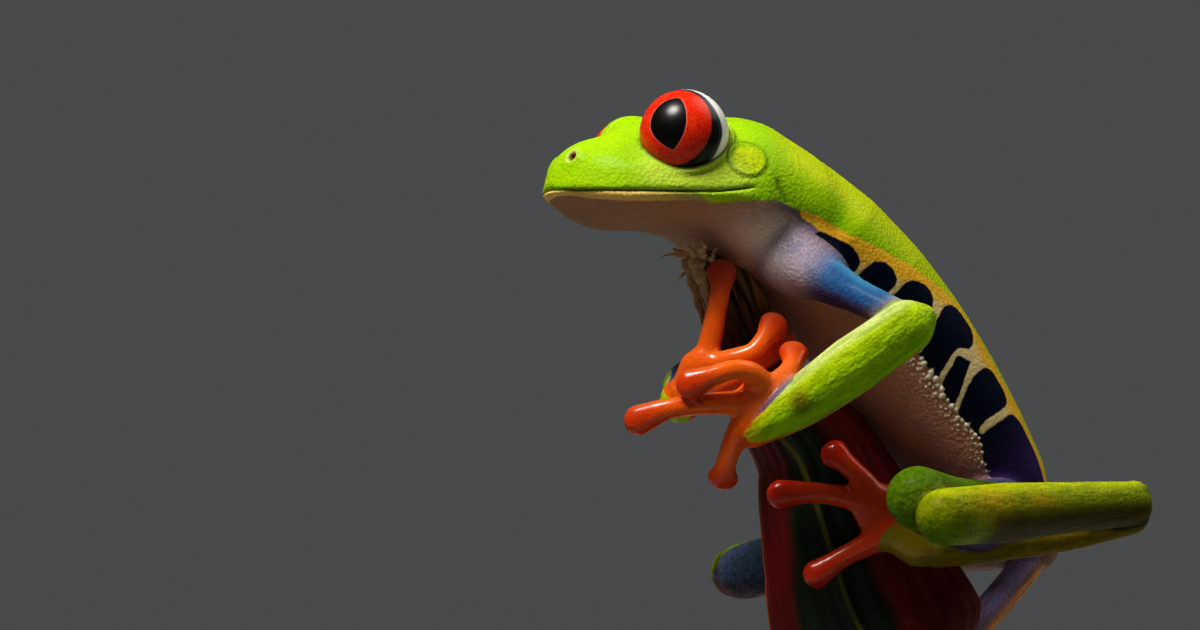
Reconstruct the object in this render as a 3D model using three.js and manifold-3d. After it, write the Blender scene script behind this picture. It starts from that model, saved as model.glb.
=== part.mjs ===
// A red-eyed tree frog, life size, gripping the upturned tip of a flower bract that a plain
// stand carries. Millimetres, +Z up. The origin is the centre of the stand's underside, and the
// frog looks along -X, turned a little towards -Y.
import * as THREE from "three";
import { mergeVertices } from "three/addons/utils/BufferGeometryUtils.js";
import Module from "manifold-3d";

const wasm = await Module();
wasm.setup();

// ---------------------------------------------------------------- driving dimensions
const GAP = 0.3; // the thin cut that parts two pieces of the body
const TURN = THREE.MathUtils.degToRad(19); // how far the frog is turned towards -Y

const HEAD_LENGTH = 15.1; // corner of the mouth to the tip of the snout
const HEAD_HALF_WIDTH = 8.7;
const HEAD_CROWN = 6.5; // mouth to the top of the head
const JAW_DEPTH = 2.35; // mouth to the underside of the jaw
const THROAT_DEPTH = 2.2; // how much deeper the throat is than the jaw
const THROAT_START = 3.2; // where the throat begins, ahead of the mouth's corner
const HEAD_BACK = 9.5; // how far the head's form runs back into the neck
const NAPE = [0, 0.2, 0.75, 1.75, 3.2, 4.6, 5.6]; // how far the crown falls, at even steps back to there
const HEAD_PITCH = THREE.MathUtils.degToRad(3);
const HEAD_ROLL = THREE.MathUtils.degToRad(1);
const MOUTH_CORNER = { ahead: 14.7, high: 55.55 }; // midway between the corners of the mouth

const EYE_RADIUS = 3.45;
const EYE_AT = new THREE.Vector3(6.08, 5.94, 4.65); // ahead, aside and up of the mouth's corner
const LID_AXIS = new THREE.Vector3(0.24, 0.97, 0); // the eye stands out of its lids this way
const UPPER_LID = { radius: 3.6, inward: 1.1, down: 0 };
const LOWER_LID = { radius: 3.4, inward: 0.8, down: 1.2 };

const NECK = { ahead: 11, high: 56, lean: 0.33 }; // the cut between head and trunk

const STAND_RADIUS = 29;
const STAND_THICK = 4.5;
const STAND_CHAMFER = 0.7;
const ROD_RADIUS = 1.5;
const ROD_IN_STALK = 2; // how deep the rod goes into the stalk

const BODY_SIDES = 20;
const LIMB_SIDES = 10;
const DIGIT_SIDES = 7;
const PERCH_SIDES = 14;
const BALL_SIDES = 12;
const KNOB_SIDES = 8;
const EYE_SIDES = 16;
const ROD_SIDES = 16;
const BASE_SIDES = 40;

const LEFT = 1;
const RIGHT = -1;

// ---------------------------------------------------------------- frames
const ahead = new THREE.Vector3(-Math.cos(TURN), -Math.sin(TURN), 0);
const aside = new THREE.Vector3(Math.sin(TURN), -Math.cos(TURN), 0);

// A point of the frog's upright middle plane, by how far it lies ahead and above the floor.
function onMiddle(a, high) {
  return ahead.clone().multiplyScalar(a).setZ(high);
}

// The head's own frame: x ahead, y to the frog's left, z up, from midway between the mouth's corners.
function headMatrix() {
  const x = ahead.clone().applyAxisAngle(aside, -HEAD_PITCH);
  const y = aside.clone().applyAxisAngle(x, HEAD_ROLL);
  const z = new THREE.Vector3().crossVectors(x, y);
  const corner = onMiddle(MOUTH_CORNER.ahead, MOUTH_CORNER.high);
  return new THREE.Matrix4().makeBasis(x, y, z).setPosition(corner);
}

// ---------------------------------------------------------------- solids
function solidOf(geometry) {
  const points = new THREE.BufferGeometry();
  points.setAttribute("position", geometry.getAttribute("position"));
  points.setIndex(geometry.index);
  const merged = mergeVertices(points, 1e-4);
  const mesh = new wasm.Mesh({
    numProp: 3,
    vertProperties: merged.attributes.position.array,
    triVerts: new Uint32Array(merged.index.array),
  });
  return new wasm.Manifold(mesh);
}

function geometryOf(solid) {
  const mesh = solid.getMesh();
  const geometry = new THREE.BufferGeometry();
  geometry.setAttribute("position", new THREE.BufferAttribute(mesh.vertProperties, 3));
  geometry.setIndex(new THREE.BufferAttribute(mesh.triVerts, 1));
  geometry.computeVertexNormals();
  return geometry;
}

function moved(solid, matrix) {
  return solidOf(geometryOf(solid).applyMatrix4(matrix));
}

// A closed skin over rings of equally many points, with a pole at each end.
function loft(firstPole, rings, lastPole) {
  const sides = rings[0].length;
  const points = [firstPole, ...rings.flat(), lastPole];
  const end = points.length - 1;
  const at = (ring, side) => 1 + ring * sides + (side % sides);
  const index = [];
  for (let s = 0; s < sides; s++) {
    index.push(0, at(0, s + 1), at(0, s));
    index.push(end, at(rings.length - 1, s), at(rings.length - 1, s + 1));
    for (let r = 0; r + 1 < rings.length; r++) {
      index.push(at(r, s), at(r, s + 1), at(r + 1, s));
      index.push(at(r, s + 1), at(r + 1, s + 1), at(r + 1, s));
    }
  }
  return solidOf(new THREE.BufferGeometry().setFromPoints(points).setIndex(index));
}

// The value at share t of a list of evenly spaced values, eased between them.
function along(values, t) {
  const place = t * (values.length - 1);
  const i = Math.min(Math.floor(place), values.length - 2);
  return THREE.MathUtils.lerp(values[i], values[i + 1], THREE.MathUtils.smoothstep(place - i, 0, 1));
}

// A limb: ellipses carried along a curve through its joints, with round ends. wide and thick are
// its half-widths from joint to joint, and flat is the direction in which it is thick. Knobs are
// balls of bone that stand out at a joint.
function limb(shape, grow = 0) {
  const { joints, wide, thick = wide, flat = [0, -1, 0], steps = 6, sides = LIMB_SIDES, knobs = [] } = shape;
  const curve = new THREE.CatmullRomCurve3(joints.map((p) => new THREE.Vector3(...p)));
  // One ellipse at share t, moved out past the limb's end by a share of its radius, and shrunk.
  const ring = (t, out, shrink) => {
    const tangent = curve.getTangent(t);
    const thin = new THREE.Vector3(...flat);
    thin.addScaledVector(tangent, -thin.dot(tangent)).normalize();
    const broad = new THREE.Vector3().crossVectors(thin, tangent);
    const w = along(wide, t) + grow;
    const h = along(thick, t) + grow;
    const centre = curve.getPoint(t).addScaledVector(tangent, out * Math.min(w, h));
    return Array.from({ length: sides }, (_, s) => {
      const turn = (2 * Math.PI * s) / sides;
      const point = centre.clone().addScaledVector(broad, Math.cos(turn) * w * shrink);
      return point.addScaledVector(thin, Math.sin(turn) * h * shrink);
    });
  };
  const pole = (t, out) => ring(t, out, 0)[0];
  const rings = [ring(0, -Math.SQRT1_2, Math.SQRT1_2)];
  for (let i = 0; i <= steps; i++) rings.push(ring(i / steps, 0, 1));
  rings.push(ring(1, Math.SQRT1_2, Math.SQRT1_2));
  let made = loft(pole(0, -1), rings, pole(1, 1));
  for (const { centre, radius } of knobs) made = made.add(ball(centre, radius + grow, KNOB_SIDES));
  return made;
}

function ball(centre, radius, sides) {
  const sphere = new THREE.SphereGeometry(radius, sides, Math.round(sides * 0.7));
  return solidOf(sphere.translate(centre.x, centre.y, centre.z));
}

// ---------------------------------------------------------------- the head
// Seen from above, the head narrows as an ellipse does to the snout; the crown stays full and
// then drops steeply, and the jaw is shallow until the throat.
function headSection(x) {
  const share = Math.max(0, x / HEAD_LENGTH);
  const behind = Math.max(0, -x);
  const throat = 1 - THREE.MathUtils.smoothstep(x, -0.4, THROAT_START);
  const chin = 0.8 * Math.exp(-(((x - 5) / 3) ** 2));
  const front = 1 - 0.6 * THREE.MathUtils.smoothstep(x, 10, 14.6);
  return {
    half: HEAD_HALF_WIDTH * Math.sqrt(1 - share ** 2) * (1 - 0.03 * behind),
    crown: HEAD_CROWN * (1 - share ** 2.8) ** 0.41 - along(NAPE, behind / HEAD_BACK),
    jaw: JAW_DEPTH * Math.sqrt(1 - share ** 3) * front + THROAT_DEPTH * throat - chin,
  };
}

function headForm(grow) {
  const shares = [-1, -0.67, -0.33, 0, 0.2, 0.38, 0.54, 0.68, 0.8, 0.89, 0.95, 0.985];
  const rings = shares.map((share) => {
    const x = share * (share < 0 ? HEAD_BACK : HEAD_LENGTH);
    const { half, crown, jaw } = headSection(x);
    return Array.from({ length: BODY_SIDES }, (_, s) => {
      const turn = (2 * Math.PI * s) / BODY_SIDES;
      const c = Math.cos(turn);
      const v = Math.sin(turn);
      const y = (half + grow) * Math.sign(c) * Math.abs(c) ** 0.85;
      const z = v > 0 ? (crown + grow) * v ** 0.85 : -(jaw + grow) * Math.abs(v) ** 0.8;
      return new THREE.Vector3(x, y, z);
    });
  });
  const back = new THREE.Vector3(-HEAD_BACK - grow, 0, 0);
  const snout = new THREE.Vector3(HEAD_LENGTH + grow, 0, 0.9);
  return loft(back, rings, snout);
}

function eyeCentre(side) {
  return new THREE.Vector3(EYE_AT.x, EYE_AT.y * side, EYE_AT.z);
}

function lid(side, { radius, inward, down }, grow) {
  const axis = new THREE.Vector3(LID_AXIS.x, LID_AXIS.y * side, LID_AXIS.z);
  const centre = eyeCentre(side).addScaledVector(axis, -inward);
  centre.z -= down;
  return ball(centre, radius + grow, BALL_SIDES);
}

function headSolid(grow = 0) {
  let made = headForm(grow);
  for (const side of [LEFT, RIGHT]) {
    made = made.add(lid(side, UPPER_LID, grow)).add(lid(side, LOWER_LID, grow));
  }
  return moved(made, headMatrix());
}

function eye(side, grow = 0) {
  return moved(ball(eyeCentre(side), EYE_RADIUS + grow, EYE_SIDES), headMatrix());
}

// ---------------------------------------------------------------- the trunk
// The trunk follows the back in the frog's upright middle plane, from the nape to the rump.
const spine = [
  [13.4, 57.9], [10.6, 55.9], [7.4, 52.9], [3.7, 49.2], [0.3, 45.3],
  [-2.8, 41.2], [-5.7, 37.3], [-8.3, 34.0], [-9.9, 32.1],
];
const trunk = {
  joints: spine.map(([a, high]) => onMiddle(a, high).toArray()),
  wide: [5.8, 7.2, 8.0, 7.7, 7.1, 6.4, 5.8, 5.0, 3.8],
  thick: [4.3, 5.0, 5.7, 5.95, 5.9, 5.7, 5.15, 4.3, 3.2],
  flat: [ahead.x, ahead.y, -1.2],
  steps: 11,
  sides: BODY_SIDES,
};

function bodySolid(grow = 0) {
  return headSolid(grow).add(limb(trunk, grow));
}

// Everything on one side of the neck's plane.
function pastNeck(direction, grow = 0) {
  const size = 120;
  const box = new THREE.BoxGeometry(size, size, size).translate(size / 2 - grow, 0, 0);
  const x = ahead.clone().setZ(NECK.lean).normalize().multiplyScalar(direction);
  const z = new THREE.Vector3().crossVectors(x, aside).normalize();
  const matrix = new THREE.Matrix4().makeBasis(x, new THREE.Vector3().crossVectors(z, x), z);
  return solidOf(box.applyMatrix4(matrix.setPosition(onMiddle(NECK.ahead, NECK.high))));
}

// ---------------------------------------------------------------- the limbs
const arms = {
  left: {
    elbow: [{ centre: new THREE.Vector3(0.7, -14.9, 46.0), radius: 0.95 }],
    upper: [[-8.9, -8.8, 51.1], [-4.4, -12.0, 48.1], [0.1, -14.9, 45.5]],
    fore: [[-0.6, -15.0, 45.25], [-4.65, -13.6, 42.45], [-8.7, -12.1, 39.7], [-12.3, -11.1, 37.8]],
    hand: [[-12.4, -11.1, 38.0], [-11.9, -11.5, 39.9]],
  },
  right: {
    elbow: [{ centre: new THREE.Vector3(-17.7, -5.8, 40.4), radius: 1.6 }],
    upper: [[-12.6, 2.0, 53.0], [-12.0, 6.0, 47.4], [-11.1, 9.5, 42.0]],
    fore: [[-11.1, 9.5, 42.2], [-14.3, 4.0, 42.9], [-16.9, -1.7, 42.2], [-17.6, -6.0, 40.7]],
    hand: [[-17.3, -6.7, 41.0], [-16.2, -7.9, 42.6]],
  },
};
const fingers = {
  left: [
    [[-11.4, -11.6, 40.6], [-10.1, -11.4, 41.6], [-9.2, -10.7, 42.7], [-9.0, -9.7, 43.8]],
    [[-11.2, -11.7, 41], [-12.4, -12.9, 41.9], [-13.8, -13.6, 42.1], [-15.4, -13.8, 41.6], [-17, -13.6, 41]],
    [[-11.9, -11.6, 39.5], [-14.3, -12, 39.7], [-16.6, -12.4, 39.5], [-18.8, -12.6, 39.2], [-21, -12, 38.4]],
    [[-12.9, -11.5, 38.4], [-13.8, -10.9, 36.6], [-14.3, -10.3, 35.2], [-14.5, -9.8, 34.3]],
  ],
  right: [
    [[-16.6, -6.4, 42.8], [-16.6, -4.6, 43.2], [-16.1, -2.6, 43.4]],
    [[-15.9, -8.2, 42.9], [-15.3, -8.4, 45.4], [-14.9, -8.4, 47.4], [-14.6, -8.5, 49], [-14.5, -8.4, 50.2]],
    [[-15.3, -8.6, 43], [-13.4, -9.5, 43.4], [-12.1, -9.8, 43.9], [-11.2, -9.4, 45], [-10.5, -8.6, 46.1]],
    [[-14.8, -8.4, 41.6], [-13.1, -9, 42.2], [-11.8, -8.8, 43.1], [-10.5, -8.3, 44], [-9.8, -7.8, 44.8]],
  ],
};
const legs = {
  left: {
    heel: [
      { centre: new THREE.Vector3(17.9, -6.3, 33.3), radius: 0.75 },
      { centre: new THREE.Vector3(18.0, -6.0, 31.9), radius: 0.8 },
    ],
    thigh: [[7.4, -2.8, 31.4], [2.8, -13.6, 31.3], [-0.6, -24.0, 31.5]],
    shank: [[0.95, -26.5, 29.75], [6.2, -19.2, 30.75], [11.6, -12.3, 31.65], [17.3, -6.2, 32.4]],
    tarsus: [[17.5, -5.5, 31.3], [12.6, -5.7, 30.1], [7.4, -6.2, 29.3], [2.2, -7.2, 28.8]],
    foot: [[0.6, -7.5, 28.9], [-1.0, -7.5, 30.2], [-2.3, -7.3, 31.7]],
  },
  right: {
    thigh: [[6.4, 4.2, 32.4], [-2.8, 10.9, 30.4], [-12.0, 17.2, 28.5]],
    shank: [[-12.6, 18.1, 28.5], [-4.4, 14.2, 29.3], [4.0, 10.4, 29.9], [11.4, 7.0, 29.9]],
    tarsus: [[11.7, 6.6, 29.7], [8.8, 6.4, 26.2], [5.8, 6.0, 22.9], [3.0, 5.9, 19.9]],
    foot: [[2.2, 5.9, 19.0], [1.0, 6.0, 18.0], [-0.4, 6.0, 17.4]],
  },
};
const toes = {
  left: [
    [[-1.2, -7.0, 32.3], [-0.1, -6.6, 33.2], [0.9, -5.9, 33.6]],
    [[-1.7, -7.3, 32.4], [-0.6, -7.2, 33.0], [0.7, -6.6, 33.3]],
    [[-2.7, -7.5, 33.0], [-3.6, -7.5, 34.2], [-4.6, -7.3, 35.2], [-5.7, -7.0, 36.2]],
    [[-3.1, -7.4, 32.4], [-5.2, -7.2, 32.9], [-7.4, -7.1, 33.2], [-9.9, -6.9, 33.1]],
    [[-2.4, -7.4, 29.6], [-4.0, -7.1, 28.8], [-5.5, -6.9, 28.0], [-7.1, -6.8, 26.9]],
  ],
  right: [
    [[0.3, 6.0, 18.8], [-0.4, 6.1, 20.2], [-0.6, 6.1, 21.6]],
    [[-0.4, 6.1, 18.5], [-2.0, 6.2, 20.0], [-3.2, 6.1, 21.4]],
    [[-1.0, 6.0, 17.8], [-3.4, 6.0, 18.6], [-5.4, 5.8, 19.6]],
    [[-1.1, 5.9, 17.2], [-4.0, 5.7, 17.0], [-6.6, 5.0, 17.2], [-8.8, 4.0, 17.7]],
    [[-0.6, 5.9, 16.6], [-2.2, 5.5, 15.4], [-3.8, 4.9, 14.7]],
  ],
};
const girth = {
  upper: { wide: [2.35, 1.35, 1.15], steps: 5 },
  fore: { wide: [2.05, 2.25, 1.95, 1.45], steps: 6 },
  hand: { wide: [1.3, 1.75], thick: [1.05, 1.05], steps: 2 },
  finger: { wide: [0.95, 0.9, 0.78, 0.8, 1.2], thick: [0.85, 0.82, 0.72, 0.7, 0.8] },
  thigh: { wide: [2.95, 2.6, 2.35], steps: 5 },
  shank: { wide: [2.05, 2.25, 1.95, 1.75], steps: 6 },
  tarsus: { wide: [1.25, 1.3, 1.3, 1.45], steps: 5 },
  foot: { wide: [1.5, 1.7, 1.95], thick: [1.2, 1.05, 1.0], steps: 3 },
  toe: { wide: [0.98, 0.9, 0.8, 0.85, 1.15], thick: [0.85, 0.82, 0.72, 0.7, 0.8] },
};

// ---------------------------------------------------------------- the perch and its stand
// The bract is a folded boat of a leaf on its cut stalk. Its slim tip stands up under the throat.
const bract = {
  joints: [
    [-15.3, -5.2, 52.5], [-13.5, -4.6, 48.2], [-12.2, -4.2, 44.4], [-10.7, -3.6, 41], [-7.4, -2.4, 37.1],
    [-5.7, -1.7, 33.2], [-4.4, -1.2, 29.2], [-3.0, -0.7, 25], [-1.2, -0.3, 21.5], [0.3, 0.1, 18.2],
  ],
  wide: [2.5, 2.6, 2.9, 3.1, 4.9, 6.0, 6.9, 8.0, 8.3, 6.2],
  thick: [1.9, 2.5, 2.9, 3.2, 3.6, 3.8, 4.0, 4.2, 4.4, 4.2],
  steps: 14,
  sides: PERCH_SIDES,
};
const stalk = {
  joints: [[0.3, 0.1, 17.8], [0.9, 0.3, 14.6], [1.4, 0.5, 11.0]],
  wide: [4.2, 3.4, 3.0],
  steps: 5,
  sides: PERCH_SIDES,
};

function base() {
  const profile = [
    [0, 0],
    [STAND_RADIUS, 0],
    [STAND_RADIUS, STAND_THICK - STAND_CHAMFER],
    [STAND_RADIUS - STAND_CHAMFER, STAND_THICK],
    [0, STAND_THICK],
  ];
  const points = profile.map(([x, y]) => new THREE.Vector2(x, y));
  return solidOf(new THREE.LatheGeometry(points, BASE_SIDES).rotateX(Math.PI / 2));
}

function rod(grow = 0) {
  const [x, y, top] = stalk.joints.at(-1);
  const length = top + ROD_IN_STALK - STAND_THICK - GAP;
  const radius = ROD_RADIUS + grow;
  const cylinder = new THREE.CylinderGeometry(radius, radius, length + 2 * grow, ROD_SIDES);
  return solidOf(cylinder.rotateX(Math.PI / 2).translate(x, y, STAND_THICK + GAP + length / 2));
}

// ---------------------------------------------------------------- the pieces, in the order of the cuts
const GREEN = "#7fc415";
const LEAF_GREEN = "#8db51c";
const ORANGE = "#e8551a";
const RED = "#c81408";
const BLACK = "#16171a";
const STEEL = "#b9bcc0";
const STALK = "#5d7a22";
const BRACT = "#8c1f1a";

const pieces = [];
function add(name, shape, color, roughness) {
  pieces.push({ name, shape, material: new THREE.MeshStandardMaterial({ color, roughness }) });
}

add("eye_left", (g) => eye(LEFT, g), RED, 0.1);
add("eye_right", (g) => eye(RIGHT, g), RED, 0.1);
add("head", (g) => bodySolid(g).intersect(pastNeck(1, g)), GREEN, 0.4);
add("trunk", (g) => bodySolid(g).intersect(pastNeck(-1, g)), GREEN, 0.4);

for (const side of ["left", "right"]) {
  const part = (name, kind, joints, color, roughness, knobs) =>
    add(`${name}_${side}`, (g) => limb({ joints, ...girth[kind], knobs }, g), color, roughness);
  part("thigh", "thigh", legs[side].thigh, LEAF_GREEN, 0.4);
  part("shank", "shank", legs[side].shank, LEAF_GREEN, 0.4, legs[side].heel);
  part("tarsus", "tarsus", legs[side].tarsus, ORANGE, 0.35);
  part("foot", "foot", legs[side].foot, ORANGE, 0.3);
  part("upper_arm", "upper", arms[side].upper, GREEN, 0.4);
  part("forearm", "fore", arms[side].fore, GREEN, 0.4, arms[side].elbow);
  part("hand", "hand", arms[side].hand, ORANGE, 0.3);
}
for (const side of ["left", "right"]) {
  for (const [kind, sets] of [["finger", fingers[side]], ["toe", toes[side]]]) {
    sets.forEach((joints, i) => {
      const shape = { joints, ...girth[kind], steps: joints.length, sides: DIGIT_SIDES };
      add(`${kind}_${side}_${i + 1}`, (g) => limb(shape, g), ORANGE, 0.3);
    });
  }
}
add("stand_rod", rod, STEEL, 0.3);
add("stand_base", base, BLACK, 0.4);
add("perch_bract", (g) => limb(bract, g), BRACT, 0.5);
add("perch_stalk", (g) => limb(stalk, g), STALK, 0.5);

// Each piece is cut by those before it, grown by the gap, where the two would share space. Of a
// piece that a cut divides, the largest part is the one that shows.
const frog = new THREE.Group();
const cutters = [];
for (const { name, shape, material } of pieces) {
  let solid = shape(0);
  for (const cutter of cutters) {
    if (solid.intersect(cutter).volume() > 0) solid = solid.subtract(cutter);
  }
  solid = solid.decompose().sort((a, b) => b.volume() - a.volume())[0];
  cutters.push(shape(GAP));
  const mesh = new THREE.Mesh(geometryOf(solid), material);
  mesh.name = name;
  frog.add(mesh);
}

export default frog;
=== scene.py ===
# %% [markdown]
# # A red-eyed tree frog
# This lesson builds a small frog that grips the upturned tip of a flower bract, the way a museum would
# show it: life size, on a plain stand. Three ideas carry the work. The body is one skin, drawn over a
# field of distances instead of being pushed about by hand. The markings are measured on that skin in
# millimetres. The finishes are built from noise and cells, so they hold up at any size.

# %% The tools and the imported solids
import math
import bmesh
import bpy
import numpy as np
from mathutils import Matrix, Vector


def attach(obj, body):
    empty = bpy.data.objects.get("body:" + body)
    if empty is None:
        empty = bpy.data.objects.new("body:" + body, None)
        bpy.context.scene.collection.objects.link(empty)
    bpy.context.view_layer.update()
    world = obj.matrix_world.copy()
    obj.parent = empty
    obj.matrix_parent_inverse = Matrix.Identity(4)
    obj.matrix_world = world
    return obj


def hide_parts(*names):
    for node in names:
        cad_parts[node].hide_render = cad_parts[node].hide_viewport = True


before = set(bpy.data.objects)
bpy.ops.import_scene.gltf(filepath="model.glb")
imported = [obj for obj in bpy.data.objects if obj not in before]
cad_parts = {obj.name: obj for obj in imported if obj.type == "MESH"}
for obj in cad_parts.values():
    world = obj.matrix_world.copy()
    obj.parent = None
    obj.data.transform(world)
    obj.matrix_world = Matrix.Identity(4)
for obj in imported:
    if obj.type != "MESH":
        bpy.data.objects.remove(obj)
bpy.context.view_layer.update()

# %% [markdown]
# ## Where the viewer stands
# A frog this small is looked at from very close, so the lens matters more than for furniture: a short
# lens would swell the head. A long lens a third of a metre away keeps the animal's proportions. The
# viewer looks up by a few degrees, so the camera sits low, just above the floor.

# %% The camera
MM = 0.001  # every size below is written in millimetres
LOOK_UP = math.radians(7)
VIEW_DISTANCE = 320
AIM = np.array([-24.0, 0.0, 48.0])
LENS = 120
sight = np.array([0, math.cos(LOOK_UP), math.sin(LOOK_UP)])
camera = bpy.data.objects.new("viewer", bpy.data.cameras.new("viewer"))
camera.data.lens = LENS
camera.data.sensor_width = 36
camera.data.clip_start = 0.01
camera.location = (AIM - VIEW_DISTANCE * sight) * MM
camera.rotation_euler = (math.pi / 2 + LOOK_UP, 0, 0)
bpy.context.scene.collection.objects.link(camera)
bpy.context.scene.camera = camera
print("camera at", [round(x, 4) for x in camera.location], "metres")

# %% [markdown]
# ## The frog's own directions
# The animal is turned a little towards the viewer. Every measure on the body is taken along three
# directions of its own: ahead, to its left side, and up. The head is tipped a little more, so it has a
# frame of its own, with its origin midway between the corners of the mouth.

# %% Directions of the body and of the head
TURN = math.radians(19)
AHEAD = np.array([-math.cos(TURN), -math.sin(TURN), 0])
ASIDE = np.array([math.sin(TURN), -math.cos(TURN), 0])
HEAD_PITCH, HEAD_ROLL = math.radians(3), math.radians(1)
MOUTH_AHEAD, MOUTH_HIGH = 14.7, 55.55
MOUTH_MIDDLE = AHEAD * MOUTH_AHEAD + np.array([0, 0, MOUTH_HIGH])


def unit(v):
    """A direction of length one: the vector over its own length."""
    v = np.asarray(v, float)
    return v / np.linalg.norm(v, axis=-1, keepdims=True)


def turned(v, axis, angle):
    """Rodrigues' turn: the part along the axis stays, the rest is swung round it by the angle."""
    kept = axis * (axis @ v) * (1 - math.cos(angle))
    return v * math.cos(angle) + np.cross(axis, v) * math.sin(angle) + kept


head_x = turned(AHEAD, ASIDE, -HEAD_PITCH)
head_y = turned(ASIDE, head_x, HEAD_ROLL)
HEAD_AXES = np.stack([head_x, head_y, np.cross(head_x, head_y)])


def to_head(points):
    """A place in the head's frame: its offset from the mouth's middle, along the head's three axes."""
    return (points - MOUTH_MIDDLE) @ HEAD_AXES.T


def from_head(places):
    """The way back: each share of an axis added up, from the mouth's middle."""
    return np.asarray(places, float) @ HEAD_AXES + MOUTH_MIDDLE


print("ahead", np.round(AHEAD, 3), "aside", np.round(ASIDE, 3))

# %% [markdown]
# ## A body as a field of distances
# A frog has no hard edges: a thigh melts into the hip, and fingers into the palm. Sculpting that by
# hand, or joining meshes, leaves seams. Here each part is a formula that says how far any point of
# space is from its surface, less than zero inside. Two parts join by taking the smaller distance, with
# a fillet where they come close. The skin is then drawn where the distance is zero.

# %% Small helpers for fields
FAR = 9.0  # a distance, in mm, that stands for "nowhere near this part"


def ease(x, low, high):
    """0 below low, 1 above high, and a smooth step, 3t² - 2t³, between them."""
    t = np.clip((np.asarray(x, float) - low) / (high - low), 0, 1)
    return t * t * (3 - 2 * t)


def hill(x, width):
    """A smooth bump of height 1 round x = 0: e to the power of -(x/width)²."""
    return np.exp(-((x / width) ** 2))


def hills(x, rows):
    """Hills side by side: for each row of how tall, where and how wide, a hill of that kind, added up."""
    return sum(tall * hill(x - place, width) for tall, place, width in rows)


def away_from(points, place):
    """The distance of each point from one place."""
    return np.sqrt(((points - np.asarray(place)) ** 2).sum(1))


def read_off(x, line):
    """What a line of (x, y) pairs gives at x."""
    return np.interp(x, *np.transpose(line))


def join(a, b, fillet):
    """Union: the smaller distance, less a quarter of fillet times the square of how close the two are."""
    close = np.maximum(fillet - np.abs(a - b), 0) / fillet
    return np.minimum(a, b) - close * close * fillet / 4


def cut(a, b, fillet):
    """Intersection with a rounded edge: a join turned inside out."""
    return -join(-a, -b, fillet)


def curve_through(joints, steps):
    """Catmull-Rom: between two joints, a cubic whose slope at each joint is half the way from the joint
    before it to the joint after it. Returns the points and their shares of the way along."""
    p = np.asarray(joints, float)
    p = np.vstack([2 * p[0] - p[1], p, 2 * p[-1] - p[-2]])
    share = np.linspace(0, 1, steps * (len(p) - 3) + 1)
    place = share * (len(p) - 3)
    i = np.minimum(place.astype(int), len(p) - 4)
    t = (place - i)[:, None]
    a, b, c, d = p[i], p[i + 1], p[i + 2], p[i + 3]
    line = 0.5 * (2 * b + (c - a) * t + (2 * a - 5 * b + 4 * c - d) * t**2 + (3 * b - a - 3 * c + d) * t**3)
    return line, share


def along(values, share):
    """The value at a share of the way along a list of evenly spaced values."""
    return np.interp(share, np.linspace(0, 1, len(values)), values)


print("fillet test, two surfaces 1 mm away:", round(float(join(np.float64(1), np.float64(1), 0.8)), 3))

# %% A limb as a field
LIMB_STEPS = 5


def near(points, joints, reach):
    """Which points lie in the joints' box, grown by reach."""
    p = np.asarray(joints, float)
    return np.all((points > p.min(0) - reach) & (points < p.max(0) + reach), axis=-1)


def nearest_on_line(points, line):
    """Distance to the nearest place of a line of points, and that place counted in the line's steps."""
    best, place = np.full(len(points), 1e9), np.zeros(len(points))
    for i, (start, step) in enumerate(zip(line[:-1], np.diff(line, axis=0))):
        t = np.clip((points - start) @ step / (step @ step), 0, 1)
        gap = np.sqrt(((points - start - t[:, None] * step) ** 2).sum(1))
        closer = gap < best
        best[closer], place[closer] = gap[closer], (i + t)[closer]
    return best, place


def at_place(rows, place):
    """Rows of numbers, read off at places between them."""
    return np.stack([np.interp(place, np.arange(len(rows)), column) for column in rows.T], 1)


def limb(points, joints, wide, thick=None, thin=(0, -1, 0)):
    """Distance to a limb: ellipses carried along a curve. With q the offset from the nearest place of
    the curve, and r its size counted in half-widths, the distance is |q| (1 - 1/r)."""
    thick = wide if thick is None else thick
    found = np.full(len(points), FAR)
    close = near(points, joints, max(wide) + 3)
    p = points[close]
    if not len(p):
        return found
    line, share = curve_through(joints, LIMB_STEPS)
    _, place = nearest_on_line(p, line)
    centre = at_place(line, place)
    share = np.interp(place, np.arange(len(line)), share)
    w, h = along(wide, share), along(thick, share)
    q = p - centre
    size = np.sqrt((q**2).sum(1)) + 1e-9
    if list(wide) == list(thick):
        found[close] = size - w
        return found
    course = unit(np.gradient(line, axis=0))
    forth = unit(at_place(course, place))
    up = np.asarray(thin, float)
    up = unit(up - (forth @ up)[:, None] * forth)
    side = np.cross(up, forth)
    x, y, z = (q * side).sum(1) / w, (q * up).sum(1) / h, (q * forth).sum(1) / w
    found[close] = size * (1 - 1 / (np.sqrt(x * x + y * y + z * z) + 1e-9))
    return found


print("a limb is a curve, a list of widths, and one direction in which it is thin")

# %% [markdown]
# ## The proportions of the animal
# These are the measures a sculptor would take from life before starting: the joints of each limb as
# points in space, and how wide the limb is from joint to joint. The same lists describe bones, so a
# knee or an elbow is simply where two lists meet.

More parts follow.
